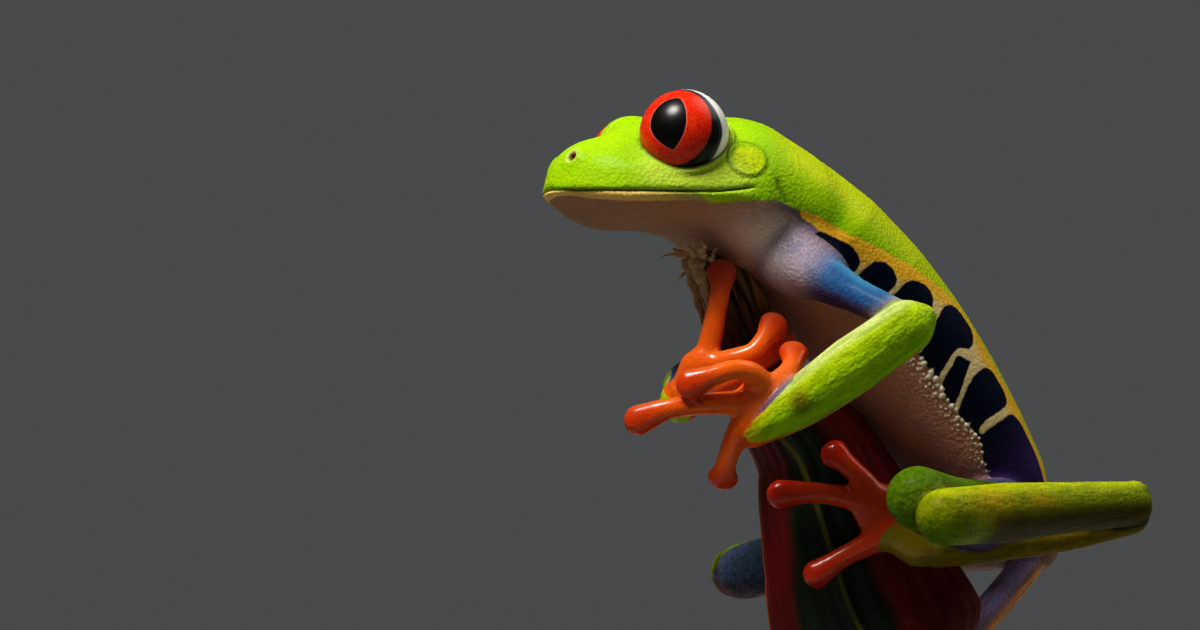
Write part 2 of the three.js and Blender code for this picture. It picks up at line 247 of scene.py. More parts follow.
# %% Joints and girths, in millimetres
SIDES = {"left": 1, "right": -1}
SPINE = [(13.4, 57.9), (10.6, 55.9), (7.4, 52.9), (3.7, 49.2), (0.3, 45.3), (-2.8, 41.2), (-5.7, 37.3),
         (-8.3, 34.0), (-9.9, 32.1)]  # how far ahead, and how high
TRUNK = {
    "joints": [tuple(AHEAD * a + np.array([0, 0, high])) for a, high in SPINE],
    "wide": (5.8, 7.2, 8.0, 7.7, 7.1, 6.4, 5.8, 5.0, 3.8),
    "thick": (4.3, 5.0, 5.7, 5.95, 5.9, 5.7, 5.15, 4.3, 3.2),
    "thin": (AHEAD[0], AHEAD[1], -1.2),
}
ARMS = {
    "left": {
        "upper_arm": [(-8.9, -8.8, 51.1), (-4.4, -12.0, 48.1), (0.1, -14.9, 45.5)],
        "forearm": [(-0.6, -15.0, 45.25), (-4.65, -13.6, 42.45), (-8.7, -12.1, 39.7), (-12.3, -11.1, 37.8)],
        "hand": [(-12.4, -11.1, 38.0), (-11.9, -11.5, 39.9)],
    },
    "right": {
        "upper_arm": [(-12.6, 2.0, 53.0), (-12.0, 6.0, 47.4), (-11.1, 9.5, 42.0)],
        "forearm": [(-11.1, 9.5, 42.2), (-14.3, 4.0, 42.9), (-16.9, -1.7, 42.2), (-17.6, -6.0, 40.7)],
        "hand": [(-17.3, -6.7, 41.0), (-16.2, -7.9, 42.6)],
    },
}
FINGERS = {
    "left": [
        [(-11.4, -11.6, 40.6), (-10.1, -11.4, 41.6), (-9.2, -10.7, 42.7), (-9.0, -9.7, 43.8)],
        [(-11.2, -11.7, 41.0), (-12.4, -12.9, 41.9), (-13.8, -13.6, 42.1), (-15.4, -13.8, 41.6),
         (-17.0, -13.6, 41.0)],
        [(-11.9, -11.6, 39.5), (-14.3, -12.0, 39.7), (-16.6, -12.4, 39.5), (-18.8, -12.6, 39.2),
         (-21.0, -12.0, 38.4)],
        [(-12.9, -11.5, 38.4), (-13.8, -10.9, 36.6), (-14.3, -10.3, 35.2), (-14.5, -9.8, 34.3)],
    ],
    "right": [
        [(-16.6, -6.4, 42.8), (-16.6, -4.6, 43.2), (-16.1, -2.6, 43.4)],
        [(-15.9, -8.2, 42.9), (-15.3, -8.4, 45.4), (-14.9, -8.4, 47.4), (-14.6, -8.5, 49.0),
         (-14.5, -8.4, 50.2)],
        [(-15.3, -8.6, 43.0), (-13.4, -9.5, 43.4), (-12.1, -9.8, 43.9), (-11.2, -9.4, 45.0),
         (-10.5, -8.6, 46.1)],
        [(-14.8, -8.4, 41.6), (-13.1, -9.0, 42.2), (-11.8, -8.8, 43.1), (-10.5, -8.3, 44.0),
         (-9.8, -7.8, 44.8)],
    ],
}
LEGS = {
    "left": {
        "thigh": [(7.4, -2.8, 31.4), (2.8, -13.6, 31.3), (-0.6, -24.0, 31.5)],
        "shank": [(1.1, -26.5, 29.9), (6.2, -19.2, 30.75), (11.6, -12.3, 31.65), (17.3, -6.2, 32.4)],
        "tarsus": [(17.5, -5.5, 31.3), (12.6, -5.7, 30.1), (7.4, -6.2, 29.3), (2.2, -7.2, 28.8)],
        "foot": [(0.6, -7.5, 28.9), (-1.0, -7.5, 30.2), (-2.3, -7.3, 31.7)],
    },
    "right": {
        "thigh": [(6.4, 4.2, 32.4), (-2.8, 10.9, 30.4), (-12.0, 17.2, 28.5)],
        "shank": [(-12.6, 18.1, 28.5), (-4.4, 14.2, 29.3), (4.0, 10.4, 29.9), (11.4, 7.0, 29.9)],
        "tarsus": [(11.7, 6.6, 29.7), (8.8, 6.4, 26.2), (5.8, 6.0, 22.9), (3.0, 5.9, 19.9)],
        "foot": [(2.2, 5.9, 19.0), (1.0, 6.0, 18.0), (-0.4, 6.0, 17.4)],
    },
}
TOES = {
    "left": [
        [(-1.2, -7.0, 32.3), (-0.1, -6.6, 33.2), (0.9, -5.9, 33.6)],
        [(-1.7, -7.3, 32.4), (-0.6, -7.2, 33.0), (0.7, -6.6, 33.3)],
        [(-2.7, -7.5, 33.0), (-3.6, -7.5, 34.2), (-4.6, -7.3, 35.2), (-5.7, -7.0, 36.2)],
        [(-3.1, -7.4, 32.4), (-5.2, -7.2, 32.9), (-7.4, -7.1, 33.2), (-9.9, -6.9, 33.1)],
        [(-2.4, -7.4, 29.6), (-4.0, -7.1, 28.8), (-5.5, -6.9, 28.0), (-7.1, -6.8, 26.9)],
    ],
    "right": [
        [(0.3, 6.0, 18.8), (-0.4, 6.1, 20.2), (-0.6, 6.1, 21.6)],
        [(-0.4, 6.1, 18.5), (-2.0, 6.2, 20.0), (-3.2, 6.1, 21.4)],
        [(-1.0, 6.0, 17.8), (-3.4, 6.0, 18.6), (-5.4, 5.8, 19.6)],
        [(-1.1, 5.9, 17.2), (-4.0, 5.7, 17.0), (-6.6, 5.0, 17.2), (-8.8, 4.0, 17.7)],
        [(-0.6, 5.9, 16.6), (-2.2, 5.5, 15.4), (-3.8, 4.9, 14.7)],
    ],
}
BONES = {  # small bones that stand out under the skin: centre and radius
    "forearm_left": [((0.7, -14.9, 46.0), 0.95)],
    "forearm_right": [((-17.7, -5.8, 40.4), 1.6)],
    "shank_left": [((17.9, -6.3, 33.3), 0.75), ((18.0, -6.0, 31.9), 0.8)],
}
GIRTH = {  # half-widths from the first joint to the last, then half-thicknesses where they differ
    "upper_arm": ((2.35, 1.35, 1.15),),
    "forearm": ((2.05, 2.25, 1.95, 1.45),),
    "hand": ((1.3, 1.75), (1.05, 1.05)),
    "finger": ((0.95, 0.9, 0.78, 0.8, 1.2), (0.85, 0.82, 0.72, 0.7, 0.8)),
    "thigh": ((2.95, 2.6, 2.35),),
    "shank": ((2.1, 2.25, 1.95, 1.75),),
    "tarsus": ((1.25, 1.3, 1.3, 1.45),),
    "foot": ((1.5, 1.7, 1.95), (1.2, 1.05, 1.0)),
    "toe": ((0.98, 0.9, 0.8, 0.85, 1.15), (0.85, 0.82, 0.72, 0.7, 0.8)),
}
limb_parts = sum(len(parts_of[side]) for parts_of in (ARMS, FINGERS, LEGS, TOES) for side in SIDES)
print("the body has a head, a trunk and", limb_parts, "parts of limbs")

# %% [markdown]
# ## The head
# Seen from above, a tree frog's head is half an ellipse. From the side the crown is flat and falls
# steeply at the snout, and the jaw is a shallow tray until the throat begins. Big eyes stand out at the
# sides, each in two lids. A lid is a ball a little larger than the eye, cut by a plane: an upright one
# for the upper lid, and a leaning one for the lower lid, which makes it a roll that rises from behind.

# %% The head as a field
HEAD_LENGTH = 15.1
HEAD_HALF_WIDTH = 8.7
HEAD_CROWN = 6.5
NAPE = [(0, 0), (1, 0.08), (2.1, 0.37), (3.6, 1.17), (4.8, 2.18), (6.2, 3.1), (7.7, 4.0),
        (9.5, 5.6)]  # how far behind the mouth's corners, and how much lower than the crown
JAW_DEPTH, THROAT_DEPTH, THROAT_START = 2.32, 2.2, 3.2
HEAD_BACK = 9.5
CROWN_SQUARE, JAW_SQUARE = 2.35, 2.15  # the powers that make its sections squarish
EYE_RADIUS = 3.45
EYE_AT = np.array([6.08, 5.94, 4.65])
UPPER_LID = {"way": unit([-0.24, -0.97, 0.0]), "from": 0.6, "proud": 0.06}
SLEEPY = 0.9  # how much further the right eye's upper lid comes down
LOWER_LID = {"way": unit([-0.354, -0.696, -0.623]), "from": 0.55, "proud": 0.5}
LID_EDGE = 0.14  # how round the lids' edges are
GROOVE_OUT = 0.16  # how far outside the lower lid's ball its groove lies
NOSTRIL_AT = np.array([13.77, 2.34, 2.62])
NOSTRIL_MOUND, MOUND_BEHIND = 0.75, np.array([0.55, 0.15, 0.3])


def mirrored(place, side):
    """The same place on the frog's other side: its second number changes sign."""
    return np.asarray(place) * np.array([1, side, 1])


def head_form(q):
    """Distance to the head without its eyes. Each section across the head is a squarish oval: with a
    and b its half-width and height, r is (|y|/a)^m + (|z|/b)^n to the power 1/m, and the distance is
    the offset from the head's axis times (1 - 1/r)."""
    x, y, z = q.T
    share = np.clip(x / HEAD_LENGTH, 0, 0.9995)
    behind = np.clip(-x, 0, HEAD_BACK)
    half = HEAD_HALF_WIDTH * np.sqrt(1 - share**2) * (1 - 0.03 * behind)
    half = half - 0.4 * hill(x - 9.9, 1.5) * ease(z, 1.0, 3.2)
    crown = HEAD_CROWN * (1 - share**2.8) ** 0.41 - read_off(behind, NAPE) - 0.3 * hill(x - 11.4, 1.3)
    jaw = JAW_DEPTH * np.sqrt(1 - share**3) * (1 - 0.62 * ease(x, 10.0, 14.6)) - 0.8 * hill(x - 5.0, 3.0)
    jaw = jaw + THROAT_DEPTH * (1 - ease(x, -0.4, THROAT_START)) * (1 - 0.6 * np.clip(y / half, -1, 1) ** 2)
    tall = np.where(z > 0, crown, jaw)
    square = np.where(z > 0, CROWN_SQUARE, JAW_SQUARE)
    r = (np.abs(y) / half) ** CROWN_SQUARE + (np.abs(z) / tall) ** square
    r = r ** (1 / CROWN_SQUARE) + 1e-6
    found = np.hypot(y, z) * (1 - 1 / r) + 3 * ease(behind, 5, HEAD_BACK)
    return np.maximum(np.maximum(found, x - HEAD_LENGTH), -HEAD_BACK - x)


def seen_from_eye(q, side):
    """Offset of each place from the middle of an eye, and its distance from the eyeball."""
    offset = q - mirrored(EYE_AT, side)
    return offset, np.sqrt((offset**2).sum(1)) - EYE_RADIUS


def lid(q, side, shape):
    """A ball cut by a plane: the distance to the ball, or to the plane where that is larger."""
    offset, gap = seen_from_eye(q, side)
    ball = gap - shape["proud"]
    droop = SLEEPY if side < 0 and shape is UPPER_LID else 0
    plane = shape["from"] - droop - offset @ mirrored(shape["way"], side)
    return cut(ball, plane, LID_EDGE)


def head(points):
    """The head's form, a mound round each nostril, and the two lids of each eye."""
    found = np.full(len(points), FAR)
    q = to_head(points)
    close = np.all((q > (-13, -12, -8)) & (q < (18, 12, 11)), axis=1)
    q = q[close]
    form = head_form(q)
    for side in SIDES.values():
        mound = away_from(q, mirrored(NOSTRIL_AT - MOUND_BEHIND, side)) - NOSTRIL_MOUND
        form = join(form, mound, 0.7)
        form = join(form, lid(q, side, UPPER_LID), 0.5)
        form = join(form, lid(q, side, LOWER_LID), 0.14)
    found[close] = form
    return found


print("eye at", EYE_AT, "in the head's frame, radius", EYE_RADIUS)

# %% [markdown]
# ## The whole body
# The order of joining sets how soft each meeting is. Head and trunk share a wide fillet, because a frog
# has almost no neck. A thigh and a shank that lie folded on each other must not melt together, so they
# share a fillet only at the knee: there the fillet grows, and elsewhere it is nearly nothing.

# %% The frog as one field
CREASE = 0.12  # the fillet where two parts only touch
NECK_FILLET, PALM_FILLET, FINGER_WEB, TOE_WEB = 2.4, 0.7, 0.3, 0.8
# at each joint: the widest fillet, and how far from the joint it fades
SHOULDER = {"left": (4.6, 4.0), "right": (1.8, 4.0)}
KNEE = {"left": (0.3, 1.4), "right": (0.9, 1.4)}
ELBOW, WRIST, HEEL, ANKLE, HIP = (1.0, 2.2), (0.8, 2.0), (1.0, 1.8), (1.0, 2.2), (2.0, 5.0)


def part(points, kind, joints):
    """One limb or digit of that kind."""
    return limb(points, joints, *GIRTH[kind])


def with_bones(points, found, bones):
    """A limb with the ends of its bones: a ball joined at each."""
    for centre, radius in bones:
        found = join(found, away_from(points, centre) - radius, 0.5)
    return found


def fillet_at(points, joint, most, spread):
    """A fillet that is widest at a joint and fades to a crease away from it."""
    return CREASE + (most - CREASE) * hill(away_from(points, joint), spread)


def paw(points, palm_kind, palm, digit_kind, digits, web):
    """A palm with its digits: a fillet of web mm between two digits, and PALM_FILLET with the palm."""
    together = part(points, digit_kind, digits[0])
    for digit in digits[1:]:
        together = join(together, part(points, digit_kind, digit), web)
    return join(part(points, palm_kind, palm), together, PALM_FILLET)


def frog(points):
    """Distance to the skin, and to each part by name."""
    parts = {"head": head(points), "trunk": limb(points, **TRUNK)}
    body = join(parts["head"], parts["trunk"], NECK_FILLET)
    for side in SIDES:
        arm, leg = ARMS[side], LEGS[side]
        for kind in ("upper_arm", "forearm"):
            parts[f"{kind}_{side}"] = part(points, kind, arm[kind])
        for kind in ("thigh", "shank", "tarsus"):
            parts[f"{kind}_{side}"] = part(points, kind, leg[kind])
        for kind in ("forearm", "shank"):
            key = f"{kind}_{side}"
            parts[key] = with_bones(points, parts[key], BONES.get(key, []))
        hand = paw(points, "hand", arm["hand"], "finger", FINGERS[side], FINGER_WEB)
        foot = paw(points, "foot", leg["foot"], "toe", TOES[side], TOE_WEB)
        parts[f"hand_{side}"], parts[f"foot_{side}"] = hand, foot
        elbow = fillet_at(points, arm["forearm"][0], *ELBOW)
        limbs = join(parts[f"upper_arm_{side}"], parts[f"forearm_{side}"], elbow)
        limbs = join(limbs, hand, fillet_at(points, arm["hand"][0], *WRIST))
        body = join(body, limbs, fillet_at(points, arm["upper_arm"][0], *SHOULDER[side]))
        knee = fillet_at(points, leg["shank"][0], *KNEE[side])
        limbs = join(parts[f"thigh_{side}"], parts[f"shank_{side}"], knee)
        heel = fillet_at(points, leg["tarsus"][0], *HEEL)
        limbs = join(limbs, parts[f"tarsus_{side}"], heel)
        limbs = join(limbs, foot, fillet_at(points, leg["foot"][0], *ANKLE))
        body = join(body, limbs, fillet_at(points, leg["thigh"][0], *HIP))
    return body, parts


probe, _ = frog(np.array([[0.0, -5.0, 45.0], [0.0, -30.0, 60.0]]))
print("inside the trunk:", round(float(probe[0]), 2), "mm; in the air:", round(float(probe[1]), 2), "mm")

# %% [markdown]
# ## Drawing a skin over the field
# A field becomes a mesh when each small box of space that the skin crosses gets one point, at the mean
# of the places where the skin cuts the box's edges, and each cut edge gets one four-sided face between
# the four boxes round it. That is called a surface net. It is closed by construction, its faces are
# nearly square, and it needs no modelling of joins.

# %% Surface net
BOX = 0.34  # the side of a box, in mm


def sample_near_skin(low, high, step):
    """The field on a lattice: first on every fourth point, then on all points whose coarse value says
    that the skin may be near. Elsewhere the coarse value stands in."""
    coarse_step = 4 * step
    counts = np.ceil((high - low) / coarse_step).astype(int) + 1
    coarse_axes = [low[k] + coarse_step * np.arange(counts[k]) for k in range(3)]
    lattice = np.stack(np.meshgrid(*coarse_axes, indexing="ij"), -1)
    coarse = frog(lattice.reshape(-1, 3))[0].reshape(counts)
    fine = coarse.repeat(4, 0).repeat(4, 1).repeat(4, 2).astype(np.float32)
    index = np.stack(np.nonzero(np.abs(fine) < 2.2 * coarse_step), 1)
    fine[tuple(index.T)] = frog(low + index * step)[0]
    return fine


def surface_net(field, low, step):
    """Points and four-sided faces of the zero surface of a field on a lattice."""
    inside = field < 0
    cells = np.array(field.shape) - 1
    total, count = np.zeros((cells.prod(), 3)), np.zeros(cells.prod())
    faces = []
    for axis in range(3):
        u, v = (axis + 1) % 3, (axis + 2) % 3
        here = [slice(None)] * 3
        there = [slice(None)] * 3
        here[axis], there[axis] = slice(None, -1), slice(1, None)
        crossed = inside[tuple(here)] != inside[tuple(there)]
        edge = np.stack(np.nonzero(crossed), 1)
        edge = edge[(edge[:, u] > 0) & (edge[:, v] > 0) & (edge[:, u] < cells[u]) & (edge[:, v] < cells[v])]
        far_end = edge.copy()
        far_end[:, axis] += 1
        a, b = field[tuple(edge.T)], field[tuple(far_end.T)]
        place = edge.astype(float)
        place[:, axis] += a / (a - b)
        ring = []
        for du, dv in ((0, 0), (-1, 0), (-1, -1), (0, -1)):
            cell = edge.copy()
            cell[:, u] += du
            cell[:, v] += dv
            flat = np.ravel_multi_index(cell.T, cells)
            count += np.bincount(flat, minlength=len(count))
            for k in range(3):
                total[:, k] += np.bincount(flat, place[:, k], len(count))
            ring.append(flat)
        ring = np.stack(ring, 1)
        ring[a > 0] = ring[a > 0][:, ::-1]
        faces.append(ring)
    used = np.nonzero(count)[0]
    number = np.full(len(count), -1)
    number[used] = np.arange(len(used))
    return low + step * total[used] / count[used, None], number[np.concatenate(faces)]


body_low, body_high = np.array([-31.0, -30.0, 12.0]), np.array([21.0, 23.0, 67.0])
field = sample_near_skin(body_low, body_high, BOX)
points, faces = surface_net(field, body_low, BOX)
print(len(points), "points and", len(faces), "faces; spans", points.min(0).round(1), points.max(0).round(1))

# %% [markdown]
# ## Finer where it matters
# A face of a third of a millimetre is small enough for a belly, and far too coarse for the edge of an
# eyelid. A finer lattice everywhere would cost millions of faces. Instead, only the edges that lie
# close to a fine feature are split, and the new points are pulled onto the field again, so the fine
# parts are truly round and not just divided flats.

# %% The lines that need fine faces
MOUTH_LINE = [(-9, 0.5), (1.1, 0.55), (2.3, 0.28), (3.9, -0.02), (6.1, -0.17), (8.1, -0.25), (10.4, -0.3),
              (12.6, -0.24), (13.8, -0.16), (14.7, 0.0), (15.2, 0.25)]  # head frame: ahead, up
MOUTH_END = 1.0
EAR_AT, EAR_RADIUS = np.array([1.55, 7.9, 2.8]), 1.42
BEAD_SPAN = (15.5, 31.0)  # along the spine, in mm
NECK_FOLD = [(-0.77, 8.25, 1.66), (-1.03, 8.31, 0.81), (-1.48, 8.29, 0.15), (-2.0, 8.1, -0.6)]


def mouth_height(q):
    """Height of a place above the mouth's line."""
    return q[:, 2] - read_off(q[:, 0], MOUTH_LINE)


def past_eardrum(q, side):
    """How far a place lies beyond the rim of an eardrum, less than zero on it."""
    return away_from(q, mirrored(EAR_AT, side)) - EAR_RADIUS


def distance_to_line(points, line):
    """Distance to the nearest place of a line of points, and the share of the way along it."""
    line = np.asarray(line, float)
    gap, place = nearest_on_line(points, line)
    return gap, place / (len(line) - 1)


print("the mouth's line has", len(MOUTH_LINE), "points, in the head's frame")

# %% Where the markings lie on the flank
ROUND = 0.11  # mm of skin for each degree round the body
GREEN_EDGE = [(-4, 112), (0, 110), (2.7, 103), (5, 95.5), (6.2, 93), (7.6, 90), (9.3, 84), (11.5, 77),
              (13.3, 69), (15, 62), (16.5, 53), (18, 46), (20, 43), (24, 43), (28, 42), (33, 46)]
STRIPE_EDGE = [(-4, 116), (0, 112), (3, 105), (6, 100), (7.8, 95), (10.9, 86), (13.7, 76), (16, 64),
               (18.5, 51), (20, 49), (22, 52), (24.1, 54), (28, 53), (31, 53), (33, 58)]
BELLY_EDGE = [(-4, 130), (6, 112), (10, 106), (14, 104), (18.5, 103), (24, 104), (25.8, 101), (27, 100),
              (27.9, 103), (29, 108), (33, 118)]
BARS = [  # down the spine in mm, round the body in degrees from the middle of the back, half-width in mm
    [(9.3, 84, 0.7), (9.8, 92, 0.3), (10.1, 97, 0.22), (10.2, 108, 0.2)],
    [(12.5, 74, 0.7), (12.9, 82, 0.3), (13.2, 88, 0.24), (13.3, 106, 0.2)],
    [(16.2, 60, 0.9), (16.6, 72, 0.5), (16.9, 80, 0.42), (17.2, 106, 0.35)],
    [(21.6, 52, 1.0), (21.4, 68, 0.6), (20.4, 79, 0.25), (20.7, 89, 0.22), (21.2, 99, 0.24),
     (21.7, 108, 0.3)],
    [(22.2, 52, 0.9), (22.2, 72, 0.5), (22.8, 86, 0.24), (23.4, 95, 0.2), (24.1, 105, 0.2)],
    [(27.1, 50, 0.5), (26.8, 60, 0.36), (26.6, 77, 0.33), (26.5, 88, 0.34), (26.6, 95, 0.24)],
]


def on_flank(points):
    """Place on the trunk: mm down the spine, and degrees round the body from the middle of the back."""
    flat = np.stack([points @ AHEAD, points[:, 2]], 1)
    spine = np.asarray(SPINE)
    lengths = np.concatenate([[0], np.cumsum(np.sqrt((np.diff(spine, axis=0) ** 2).sum(1)))])
    _, place = nearest_on_line(flat, spine)
    course = unit(at_place(unit(np.gradient(spine, axis=0)), place))
    offset = flat - at_place(spine, place)
    beyond = (offset * course).sum(1)
    up = offset[:, 0] * course[:, 1] - offset[:, 1] * course[:, 0]
    at_end = (place <= 0) | (place >= len(spine) - 1)
    down = np.interp(place, np.arange(len(spine)), lengths) + np.where(at_end, beyond, 0)
    return down, np.degrees(np.arctan2(np.abs(points @ ASIDE), up))


def past_line(down, degrees, line):
    """How many mm further round the body a place lies than a line of the flank."""
    return (degrees - read_off(down, line)) * ROUND


def bar_distance(down, degrees):
    """Distance to the nearest pale bar, less than zero on it: a line on the flank, less its half-width."""
    place = np.stack([down, degrees * ROUND], 1)
    found = np.full(len(place), FAR)
    for bar in BARS:
        bar = curve_through(bar, 4)[0]
        gap, share = distance_to_line(place, bar[:, :2] * (1, ROUND))
        found = np.minimum(found, gap - along(bar[:, 2], share))
    return found


BEAD_ROWS = [(0.05, 0.5, 0.22), (0.42, 0.46, 0.15), (0.75, 0.5, 0.11),
             (1.1, 0.6, 0.09)]  # how far past the belly's edge, how far apart, and how large


def bead_row():
    """White grains along the belly's edge: rows of (down, across, radius) in mm, placed by fixed chance."""
    chance = np.random.default_rng(3)
    rows = []
    for offset, spacing, size in BEAD_ROWS:
        down = np.arange(*BEAD_SPAN, spacing)
        down = down + chance.normal(0, spacing / 5, len(down))
        edge = read_off(down, BELLY_EDGE) * ROUND
        radius = size * (1.1 - 0.35 * ease(down, 22, 30)) * chance.uniform(0.65, 1.15, len(down))
        rows.append(np.stack([down, edge + offset + chance.normal(0, 0.09, len(down)), radius], 1))
    return np.concatenate(rows)


BEADS = bead_row()


def bead_height(down, degrees):
    """Each bead is a dome: its radius times the root of 1 minus (distance / radius)²."""
    across = degrees * ROUND
    found = np.zeros(len(down))
    edge = read_off(down, BELLY_EDGE) * ROUND
    near_edge = (down > BEAD_SPAN[0] - 1) & (down < BEAD_SPAN[1] + 1) & (np.abs(across - edge) < 2)
    x, y = down[near_edge], across[near_edge]
    tall = np.zeros(len(x))
    for middle, height, radius in BEADS:
        away = np.hypot(x - middle, y - height) / radius
        tall = np.maximum(tall, radius * np.sqrt(np.clip(1 - away**2, 0, 1)))
    found[near_edge] = tall
    return found


FINE = {"lid": 0.1, "groove": 0.13, "nostril": 0.09, "ear": 0.17, "mouth": 0.1, "bar": 0.17,
        "stripe": 0.2, "bead": 0.09}  # how long an edge may be there, in mm


def wanted_length(points):
    """How long a mesh edge may be at each point, in mm."""
    q = to_head(points)
    wanted = np.full(len(points), BOX)
    for side in SIDES.values():
        offset, gap = seen_from_eye(q, side)
        gap = np.abs(gap)
        for shape, reach in ((UPPER_LID, 0.35), (LOWER_LID, 0.6)):
            edge = np.abs(offset @ mirrored(shape["way"], side) - shape["from"])
            wanted[(gap < 0.7) & (edge < reach)] = FINE["lid"]
        below = offset @ mirrored(LOWER_LID["way"], side) > 0.6
        groove = below & (np.abs(gap - LOWER_LID["proud"] - GROOVE_OUT) < 0.4)
        wanted[groove] = np.minimum(wanted, FINE["groove"])[groove]
        wanted[away_from(q, mirrored(NOSTRIL_AT, side)) < 0.75] = FINE["nostril"]
        ear_rim = np.abs(past_eardrum(q, side)) < 0.5
        wanted[ear_rim] = np.minimum(wanted, FINE["ear"])[ear_rim]
    at_jaw = (q[:, 0] > MOUTH_END - 0.6) & (np.abs(q[:, 2]) < 2.5)
    wanted[at_jaw & (np.abs(mouth_height(q)) < 0.3)] = FINE["mouth"]
    down, degrees = on_flank(points)
    narrow = np.abs(points @ ASIDE) < 9
    on_trunk = narrow & (degrees < 115)
    on_bar = (np.abs(bar_distance(down, degrees)) < 0.35) & (degrees > 48) & (degrees < 108)
    wanted[on_bar & on_trunk & (down > 8) & (down < 28.5)] = FINE["bar"]
    at_stripe = np.abs(past_line(down, degrees, STRIPE_EDGE)) < 0.5
    wanted[on_trunk & at_stripe & (down > 5) & (down < 32)] = FINE["stripe"]
    past_edge = past_line(down, degrees, BELLY_EDGE)
    row = (past_edge > -0.3) & (past_edge < 1.45) & (down > BEAD_SPAN[0] - 0.3) & (down < BEAD_SPAN[1] + 0.3)
    wanted[row & narrow] = FINE["bead"]
    return wanted


print("bars on each flank:", len(BARS))

# %% Pull points onto the skin, even them out, and split edges
PROBE = 0.03


def skin_slope(points, value):
    """The field's gradient: how much the distance grows for a small step along each axis."""
    steps = PROBE * np.eye(3)
    return np.stack([frog(points + step)[0] - value for step in steps], 1) / PROBE


def pulled(points, rounds):
    """Newton's step: back along the slope by the distance over the slope's squared length."""
    for _ in range(rounds):
        value = frog(points)[0]
        slope = skin_slope(points, value)
        move = slope * (value / np.maximum((slope**2).sum(1), 0.25))[:, None]
        points = points - np.clip(move, -0.3, 0.3)
    return points


def evened(points, edges, rounds):
    """Each point goes half way to the mean of its neighbours."""
    ends = np.concatenate([edges, edges[:, ::-1]])
    count = np.bincount(ends[:, 0], minlength=len(points))[:, None]
    for _ in range(rounds):
        mean = np.stack([np.bincount(ends[:, 0], points[ends[:, 1], k], len(points)) for k in range(3)], 1)
        points = (points + mean / count) / 2
    return points


def read(collection, name, kind, width):
    """One array from a mesh's points, edges or faces."""
    values = np.empty(len(collection) * width, kind)
    collection.foreach_get(name, values)
    return values.reshape(-1, width) if width > 1 else values


def place_points(mesh, points):
    """Puts an array of points into a mesh."""
    mesh.vertices.foreach_set("co", np.asarray(points, np.float32).ravel())
    mesh.update()


def mesh_points(mesh):
    """The points of a mesh, as exact numbers."""
    return read(mesh.vertices, "co", np.float32, 3).astype(float)


def split_long_edges(mesh):
    """Splits in two each edge that is longer than its middle wants."""
    points = mesh_points(mesh)
    ends = read(mesh.edges, "vertices", np.int32, 2)
    length = np.sqrt(((points[ends[:, 0]] - points[ends[:, 1]]) ** 2).sum(1))
    long = np.nonzero(length > 1.35 * wanted_length(points[ends].mean(1)))[0]
    work = bmesh.new()
    work.from_mesh(mesh)
    work.edges.ensure_lookup_table()
    bmesh.ops.subdivide_edges(work, edges=[work.edges[i] for i in long], cuts=1, use_grid_fill=True)
    work.to_mesh(mesh)
    work.free()


skin_mesh = bpy.data.meshes.new("frog_skin")
skin_mesh.from_pydata(points.tolist(), [], faces.tolist())
skin_edges = read(skin_mesh.edges, "vertices", np.int32, 2)
points = pulled(evened(pulled(points, 1), skin_edges, 2), 2)
place_points(skin_mesh, points)
for _ in range(2):
    split_long_edges(skin_mesh)
    place_points(skin_mesh, pulled(mesh_points(skin_mesh), 1))
print("refined skin:", len(skin_mesh.vertices), "points,", len(skin_mesh.polygons), "faces")

# %% [markdown]
# ## Folds and small relief
# The line of the mouth, the nostrils, the round eardrum and the folds behind the jaw are too small for
# the field, and they are what makes a head look alive. They are added as moves along the skin's normal:
# a groove is a negative hill across a line, a ring is a hill round a radius.

# %% The relief of the head
# rows of moves: how far out, how far above the mouth's line or beyond the eardrum's rim, and how wide
MOUTH_MOVES = [(-0.28, 0, 0.11), (0.09, -0.42, 0.3), (0.07, 0.38, 0.28)]
EAR_MOVES = [(0.06, 0, 0.14), (-0.07, 0.28, 0.14), (-0.06, -0.3, 0.14)]
EAR_LIFT, NOSTRIL_LIFT, NOSTRIL_DEPTH, LID_GROOVE, NECK_GROOVE = 0.02, 0.13, 0.4, 0.32, 0.22
NOSTRIL_TALL, NOSTRIL_BROAD = 0.36, 0.46  # the hole's half-height and half-width
# pairs of parts whose fold gets painted shade
FOLDS = [("thigh", "shank"), ("shank", "tarsus"), ("upper_arm", "forearm"), ("tarsus", "trunk")]


def under_lid(q, side):
    """The groove under the lower lid: a hill just outside the lid's ball, on the lid's side of the eye."""
    offset, gap = seen_from_eye(q, side)
    on_side = ease(offset @ mirrored(LOWER_LID["way"], side), 0.7, 1.5)
    return on_side * hill(gap - LOWER_LID["proud"] - GROOVE_OUT, 0.16)


def lid_highlight(q, side):
    """A painted highlight along the rims of both lids: a hill along each lid's plane, close to the eye."""
    offset, gap = seen_from_eye(q, side)
    rims = [hill(offset @ mirrored(shape["way"], side) - shape["from"] - 0.03, 0.08)
            for shape in (UPPER_LID, LOWER_LID)]
    return (1 - ease(gap, 0.42, 0.6)) * np.maximum(*rims)


def nostril_hole(q, side):
    """Distance from the middle of a nostril, counted in the hole's half-widths along its slanted oval:
    the root of (up / tall)² + (across / broad)². Beyond 1 mm ahead or behind it is very large."""
    offset = q - mirrored(NOSTRIL_AT, side)
    across = offset[:, 1] * side - 0.5 * offset[:, 0]
    hole = np.sqrt((offset[:, 2] / NOSTRIL_TALL) ** 2 + (across / NOSTRIL_BROAD) ** 2)
    return np.where(np.abs(offset[:, 0]) < 1, hole, 100)


def on_jaw(q):
    """1 along the mouth and 0 behind its corners."""
    return ease(q[:, 0], MOUTH_END - 0.4, MOUTH_END + 0.9) * (np.abs(q[:, 2]) < 2.5)


